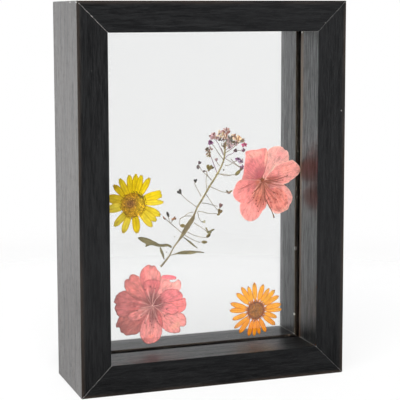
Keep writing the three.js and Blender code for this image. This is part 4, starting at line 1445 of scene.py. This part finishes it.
STALKS = [
    [(-1.8, 81.9), (-4.6, 84), (-7.3, 86.1), (-9.5, 88.4)],
    [(-9.6, 69.9), (-13, 73), (-15.5, 75.5), (-16.1, 77.9)],
    [(-12.6, 72.6), (-15.9, 75.5), (-17.9, 77.4)],
    [(-3.6, 79.6), (-5.9, 79.3), (-8.7, 77.5), (-10.5, 76.7)],
    [(-4.3, 77.7), (-7.3, 77.9), (-10, 76.9), (-10.6, 74.8), (-10.5, 73.7), (-9.6, 73.2)],
    [(-14.9, 75.2), (-13.9, 76.2), (-13.4, 76.7)],
    [(0.5, 87), (-1.3, 90.2), (-2.9, 93.3), (-2.7, 94.0)],
    [(0.7, 83.8), (3.5, 83.4), (6.4, 82.4), (8.8, 81.8)],
    [(3, 87.8), (4.6, 85.5), (6.4, 82.8), (8.9, 79.9)],
    [(-1.4, 79.9), (1.4, 79.4), (4.1, 78.6), (8.4, 78.2)],
    [(-1.4, 79.5), (-0.7, 76.6), (0.5, 74.8), (1.4, 74.3)],
    [(-3.2, 74.4), (-1.1, 72.9), (1.4, 71.3), (3.4, 69.6)],
    [(-6.6, 70.1), (-4.1, 68.7), (-0.9, 67.5), (2.6, 66.8)],
    [(-8.2, 68.8), (-5.5, 67.1), (-2.8, 65.6), (-0.1, 64.6)],
    [(3.2, 89.9), (3.1, 92.3), (2.9, 94), (3.2, 97.1), (3.4, 99.3)],
    [(5.8, 94.5), (3.8, 97), (3.2, 98.9), (2.3, 99.3)],
    [(4.8, 91.6), (8.1, 90.1), (11.0, 88.8), (13.6, 88.2)],
    [(5.7, 94.8), (2.8, 97.6), (0.8, 99.5), (-0.7, 102.0)],
    [(8.6, 98.0), (7.2, 101.5), (5.8, 105.1), (4.8, 107.4)],
    [(9.9, 101.4), (8.6, 103), (8.1, 104.0)],
    [(11.7, 104.5), (9.7, 107), (7.8, 109.9), (5.6, 112.6)],
    [(11.9, 106.4), (10.9, 108.6), (9.3, 112), (7.8, 114.1)],
    [(10.7, 109.9), (11.7, 107.9), (12.4, 106.2)],
    [(10.9, 112.3), (11.1, 110.8), (12.5, 110.6)],
    [(13.3, 104.5), (16.7, 102.5), (20.5, 100.1), (21.2, 100.2)],
    [(12.7, 101.5), (14.9, 101.6), (17.3, 103), (18.8, 103.4)],
    [(15.7, 104.5), (16.9, 103.2), (18.6, 101.6), (20.6, 100.4)],
    [(12.5, 104.6), (14.1, 106.3), (16.1, 106.9), (17.7, 108)],
    [(17.8, 108.3), (19.6, 108.5), (22.1, 107.9)],
    [(9.0, 97.4), (11.7, 97.3), (14.9, 96.7), (18.4, 96.9)],
    [(9.4, 97.6), (13.5, 96.4), (17.6, 96.9)],
    [(12.9, 112), (13.4, 114), (13.2, 116.6)],
    [(12.8, 110.5), (15.2, 112.6), (18.6, 113.2)],
    [(12.7, 108.6), (15.0, 110.3), (17.8, 112.0)],
    [(12.6, 107.4), (16.4, 109.6), (20.8, 112.8)],
    [(12.9, 111.4), (11.4, 114.2), (10.4, 116.0)],
    [(12.9, 112), (15.6, 114.8), (16.0, 116.2)],
]

# Seed pods: kind, middle, length, width, the way they point in degrees, and colour.
DARK_POD, OLIVE_POD, BROWN_POD = (78, 74, 70), (118, 104, 62), (132, 96, 78)
PODS = [
    ("heart", (-10.4, 89.6), 2.8, 2.5, 128, DARK_POD),
    ("almond", (-16.5, 79.2), 3.0, 1.3, 112, DARK_POD),
    ("almond", (-18.4, 77.6), 2.2, 0.8, 122, BROWN_POD),
    ("almond", (-9.0, 73.3), 3.0, 1.7, 168, OLIVE_POD),
    ("heart", (-2.5, 94.6), 2.0, 1.8, 96, DARK_POD),
    ("almond", (-1.2, 101.3), 2.2, 1.5, 100, (96, 84, 84)),
    ("heart", (-0.5, 103.2), 2.0, 1.7, 60, (96, 78, 84)),
    ("heart", (4.5, 100.5), 3.4, 3.2, 78, (110, 98, 58)),
    ("almond", (6.2, 100.6), 1.8, 1.1, 20, (86, 72, 54)),
    ("almond", (2.0, 99.2), 1.6, 0.8, 170, (84, 64, 62)),
    ("heart", (8.2, 104.3), 1.9, 1.6, 100, (140, 116, 116)),
    ("heart", (10.3, 81.9), 2.6, 2.0, 70, (112, 84, 80)),
    ("heart", (9.8, 79.0), 3.0, 2.5, 60, (110, 92, 60)),
    ("almond", (9.2, 77.8), 1.8, 1.1, 190, OLIVE_POD),
    ("heart", (1.7, 74.7), 1.8, 1.5, -10, (150, 144, 118)),
    ("almond", (3.2, 70.9), 2.4, 0.8, 118, OLIVE_POD),
    ("almond", (5.8, 70.2), 3.2, 1.0, 22, (120, 112, 78)),
    ("almond", (4.4, 69.4), 2.6, 1.6, -8, (112, 108, 78)),
    ("almond", (4.0, 67.7), 2.8, 1.6, 38, OLIVE_POD),
    ("almond", (1.9, 64.7), 3.2, 1.5, -6, OLIVE_POD),
    ("almond", (13.9, 88.7), 2.0, 0.9, 140, (124, 112, 86)),
    ("almond", (15.4, 88.6), 2.4, 0.9, 28, (132, 118, 84)),
    ("almond", (14.6, 88.0), 1.8, 1.0, 0, (110, 84, 78)),
    ("almond", (19.2, 97.6), 3.6, 1.8, 42, (126, 116, 72)),
    ("almond", (20.9, 99.4), 2.6, 1.4, 52, (110, 96, 84)),
    ("heart", (17.8, 108.5), 2.2, 1.8, 10, (84, 64, 70)),
    ("almond", (22.2, 108.4), 2.0, 1.3, 70, (128, 92, 112)),
    ("almond", (11.9, 99.4), 0.9, 0.7, 60, (78, 66, 56)),
]

# Clusters of small dry florets: middle, spread, number of petals, petal length, and their colours.
CREAM, MAUVE_PETAL, PURPLE = (228, 206, 172), (188, 160, 158), (146, 98, 134)
MAGENTA, TAN, GREY_GREEN = (188, 62, 110), (176, 134, 104), (134, 134, 118)
RED_BROWN, DARK_OLIVE = (144, 98, 90), (96, 86, 56)
CLUSTERS = [
    ((5.1, 113.0), (1.1, 1.1), 9, 1.7, (PURPLE, (150, 90, 130), (110, 64, 96))),
    ((6.4, 116.0), (1.5, 1.2), 10, 1.9, (MAUVE_PETAL, (190, 156, 160), RED_BROWN)),
    ((8.2, 114.9), (1.2, 0.9), 7, 1.7, (MAUVE_PETAL, (110, 84, 92), TAN)),
    ((10.3, 116.6), (1.6, 1.3), 10, 2.0, (CREAM, (196, 178, 140), MAUVE_PETAL)),
    ((10.6, 114.2), (1.6, 0.6), 8, 1.4, ((96, 66, 72), (120, 88, 84), DARK_OLIVE)),
    ((13.3, 117.7), (1.5, 1.7), 13, 1.9, (RED_BROWN, TAN, (180, 142, 138))),
    ((12.7, 115.2), (1.1, 1.2), 8, 1.6, (TAN, RED_BROWN, CREAM)),
    ((15.2, 113.9), (1.9, 1.9), 16, 2.1, (GREY_GREEN, MAUVE_PETAL, (110, 104, 96))),
    ((15.2, 110.9), (1.6, 1.4), 12, 2.0, (MAUVE_PETAL, (190, 160, 176), GREY_GREEN)),
    ((18.0, 112.2), (1.4, 1.0), 9, 1.7, (DARK_OLIVE, (120, 106, 74), MAUVE_PETAL)),
    ((17.0, 115.4), (1.3, 1.0), 8, 1.8, (CREAM, TAN, (206, 164, 150))),
    ((19.3, 114.0), (1.8, 1.1), 11, 2.0, (CREAM, (222, 176, 130), TAN)),
    ((21.4, 113.2), (1.2, 0.9), 8, 1.7, ((140, 122, 96), TAN, GREY_GREEN)),
    ((22.6, 111.0), (1.0, 0.8), 8, 1.6, (MAGENTA, (206, 96, 140), (140, 60, 80))),
    ((22.2, 108.6), (1.0, 0.8), 5, 1.3, (MAUVE_PETAL, (110, 80, 96))),
    ((12.3, 111.0), (0.9, 1.6), 8, 1.4, ((140, 118, 84), DARK_OLIVE, RED_BROWN)),
    ((4.3, 107.6), (1.0, 1.5), 9, 1.8, ((134, 120, 72), (110, 96, 60), (150, 118, 96))),
    ((3.5, 109.8), (0.8, 1.0), 6, 1.5, ((140, 112, 96), DARK_OLIVE)),
    ((5.4, 109.9), (0.8, 0.8), 5, 1.4, (MAUVE_PETAL, (120, 100, 70))),
    ((-13.4, 76.9), (1.1, 0.7), 8, 1.2, ((150, 100, 66), (172, 128, 84), (110, 76, 60))),
    ((19.2, 104.2), (1.2, 1.0), 8, 1.5, (PURPLE, (150, 110, 150), (120, 86, 104))),
    ((20.9, 103.1), (1.0, 0.9), 6, 1.6, ((176, 150, 180), MAUVE_PETAL, (110, 80, 100))),
    ((21.6, 100.3), (0.8, 1.1), 7, 1.4, (PURPLE, (136, 92, 130), (110, 78, 90))),
]
# Where the flower stalks leave the stem, which is a little thicker there.
JOINTS = ((-3.4, 78.2), (-1.7, 81.6), (0.6, 84.9), (4.4, 91.6), (8.2, 97.2), (12.0, 104.6))
# Stray specks and crumbs: place, size and colour.
SPECKS = [
    ((-13.1, 68.2), 0.7, (128, 120, 104)), ((-17.2, 61.0), 0.75, (120, 122, 116)),
    ((-12.6, 62.5), 0.35, (170, 164, 150)), ((12.0, 99.0), 0.5, (84, 74, 60)),
    ((-2.9, 92.0), 0.3, (150, 140, 126)), ((-3.4, 90.7), 0.25, (160, 150, 134)),
    ((-0.3, 75.9), 0.3, (150, 140, 110)), ((-4.1, 62.1), 0.25, (180, 174, 160)),
]


# Outlines of the pods and florets, as shares of half their length and width, from their stalk on.
HALF_ALMOND = [(-math.cos(a), math.sin(a) ** 1.25) for a in np.linspace(0, math.pi, 9)]
HALF_HEART = [(-1, 0), (-0.55, -0.38), (0.05, -0.86), (0.55, -1), (0.92, -0.72), (0.94, -0.3)]
SHAPES = {
    "almond": [(a, -b) for a, b in HALF_ALMOND[:-1]] + HALF_ALMOND[:0:-1],
    "heart": HALF_HEART + [(0.62, 0)] + [(a, -b) for a, b in HALF_HEART[:0:-1]],
}


def placed(kind, centre, length, width, angle):
    """One of those outlines with its size, place and direction. Returns it and its axis."""
    axis, side = heading(angle)
    return np.array([centre + axis * length / 2 * a + side * width / 2 * b for a, b in SHAPES[kind]]), axis


def add_pod(heap, kind, centre, length, width, angle, color, y, thickness, spacing=0.3):
    """A flat pod with a pale suture down its middle and its stalk's colour at its foot."""
    centre = np.asarray(centre)
    outline, axis = placed(kind, centre, length, width, angle)
    start = centre - axis * length / 2
    outline = nibbled(resampled(outline, 0.22), start, 0.06, 0.6, centre[0], 0.5)
    points, faces, fan = puffed(outline, y, thickness, spacing, start, centre + axis * length / 2)
    flat = points[:, [0, 2]]
    suture = np.abs((flat - centre) @ np.array([-axis[1], axis[0]]))
    tint = np.tile(srgb(*color), (len(points), 1))
    tint = blended(tint, 0.45 * eased((0.16 - suture) / 0.16), srgb(*color) * 1.7)
    tint = blended(tint, 0.4 * zone(flat, start, (length * 0.3, width * 0.5), angle, 0.6), STALK_COLOR)
    heap.add(tint, points, faces, fan)


def sprig_stem(material):
    """The ribbed main stem, thicker where each flower stalk leaves it."""
    node = "sprig_stem"
    rows = resampled(spine_of(node), 0.5, closed=False)
    y = middle_y(node)
    uneven = 0.22 * eased((rows[:, 1] - 80) / 8) + 0.14 * mottled(rows[:, :2], 1.5, 4.0)
    wide = rows[:, 2] * (1.05 + uneven)
    points, faces, fan = strand(raised(rows, y), wide, np.minimum(wide * 0.6, 0.15), 16, 6, 0.07)
    flat = points[:, [0, 2]]
    tint = np.tile(srgb(134, 122, 92), (len(points), 1))
    tint = blended(tint, 0.7 * zone(flat, (-5.9, 74.1), (5.4, 1.8), 55, 0.5), srgb(114, 100, 74))
    tint = blended(tint, eased((flat[:, 1] - 76) / 22), srgb(154, 142, 98))
    heap = Heap()
    heap.add(tint * (1 + 0.16 * mottled(flat, 1.2, 3.0))[:, None], points, faces, fan)
    for at in JOINTS:
        outline, axis = placed("almond", np.array(at), 1.5, 0.85, 60)
        heap.add(srgb(128, 116, 80), *puffed(resampled(outline, 0.25), y - 0.02, 0.3, 0.3, at, at + axis))
    heap.make(f"pressed_{node}", material, node)


def sprig_leaves(material):
    """The four narrow leaves, each with a pale midrib."""
    for number in (1, 2, 3, 4):
        node = f"sprig_leaf_{number}"
        plain = outline_of(node)
        one_end = plain[np.argmax(np.linalg.norm(plain[:, None] - plain[None], axis=2).max(1))]
        other_end = plain[np.argmax(np.linalg.norm(plain - one_end, axis=1))]
        root, tip = sorted((one_end, other_end), key=lambda end: np.linalg.norm(end - LEAF_FOOT))
        sheet = Sheet(nibbled(resampled(plain, 0.25), root, 0.08, 1.1, number, 1.0), 0.3, root, tip)
        midrib = eased((0.18 - np.abs(sheet.across)) / 0.18)
        tint = blended(sheet.all_of(srgb(122, 112, 76)), 0.55 * midrib, srgb(158, 148, 112))
        tint = blended(tint, 0.4 * sheet.rim(0.3), srgb(92, 86, 62))
        tint = blended(tint, 0.4 * eased(mottled(sheet.flat, 2.2, number) + 0.2), srgb(104, 100, 76))
        relief = RELIEF * (mottled(sheet.flat, 1.6, number) - np.exp(-((sheet.across / 0.2) ** 2)))
        pressed_node(node, sheet, relief, tint, material, LEAF_HALF)


def sprig_stalks(material):
    heap = Heap()
    for number, points in enumerate(STALKS):
        path = raised(resampled(np.array(points), 0.6, closed=False), STALK_Y)
        share = np.linspace(0, 1, len(path))
        half = STALK_HALF * (1.15 - 0.35 * share + 0.35 * eased((share - 0.85) / 0.15))
        upper = eased((points[-1][1] - 98) / 8) * (number % 3 == 0)
        tint = STALK_COLOR * (1 - upper) + MAUVE_STALK * upper
        heap.add(tint * (1 + 0.15 * math.sin(number * 2.4)), *strand(path, half, 0.07, 6))
    heap.make("sprig_flower_stalks", material)


def sprig_pods(material):
    heap = Heap()
    for kind, centre, length, width, angle, color in PODS:
        add_pod(heap, kind, centre, length, width, angle, color, POD_Y, POD_THICKNESS)
    for centre, size, color in SPECKS:
        angle = 40 * centre[0]
        add_pod(heap, "almond", centre, size, size * 0.7, angle, color, 0.0, SPECK_THICKNESS, 0.2)
    heap.make("sprig_pods_and_specks", material)


def sprig_florets(material):
    """Clusters of small petals, with a few dark bits on each."""
    heap = Heap()
    draw = random.Random(21)
    for centre, spread, count, length, colors in CLUSTERS:
        for i in range(count):
            a = 2 * math.pi * (i + draw.uniform(-0.3, 0.3)) / count
            out = math.sqrt(draw.uniform(0.05, 1.0))
            at = np.array(centre) + np.array([spread[0] * out * math.cos(a), spread[1] * out * math.sin(a)])
            size = length * draw.uniform(0.65, 1.15)
            color = srgb(*colors[i % len(colors)]) * draw.uniform(1.0, 1.5)
            lean = math.degrees(a) + draw.uniform(-50, 50)
            outline, axis = placed("almond", at, size, size * draw.uniform(*FLORET_SLIMNESS), lean)
            outline = nibbled(resampled(outline, 0.2), at, 0.12, 0.5, draw.uniform(0, 50), 0.1)
            y = FLORET_Y + draw.uniform(-0.22, 0.22)
            root, tip = at - axis * size / 2, at + axis * size / 2
            points, faces, fan = puffed(outline, y, FLORET_THICKNESS, 0.28, root, tip)
            share = fan[:, 0] / max(fan[:, 0].max(), 0.1)
            tint = blended(np.tile(color, (len(points), 1)), 0.45 * eased(1 - share / 0.5), color * 0.55)
            heap.add(tint, points, faces, fan)
        for i in range(max(2, count // 3)):
            a = draw.uniform(0, 2 * math.pi)
            at = np.array(centre) + np.array(spread) * (0.5 * math.cos(a), 0.5 * math.sin(a))
            outline, axis = placed("almond", at, 0.7, 0.5, math.degrees(a))
            bit = puffed(resampled(outline, 0.2), FLORET_Y - 0.3, 0.1, 0.25, at, at + axis)
            heap.add(srgb(*colors[-1]) * 0.5, *bit)
    heap.make("sprig_florets", material)


def sprig():
    stem = dry_material("dry_stem", veins=0.16, mottle=0.30, spread=60.0, lines=260.0, thin=0.1)
    leaf = dry_material("dry_leaf", veins=0.10, mottle=0.30, spread=8.0, lines=26.0, thin=0.25)
    pod = dry_material("dry_pod", veins=0.12, mottle=0.45, spread=1.0, lines=8.0, thin=0.15)
    floret = dry_material("dry_floret", veins=0.12, mottle=0.35, spread=1.0, lines=8.0, thin=0.35)
    sprig_stem(stem)
    sprig_leaves(leaf)
    sprig_stalks(stem)
    sprig_pods(pod)
    sprig_florets(floret)


# ---- Whole object ----

bpy.context.scene.view_settings.view_transform = "Standard"
cycles = bpy.context.scene.cycles
cycles.max_bounces = 24
cycles.diffuse_bounces = 12
cycles.transmission_bounces = 16
add_camera()
add_surroundings()
add_floor()
add_flag()
finish_bars_and_panes()
daisies()
blossoms()
sprig()
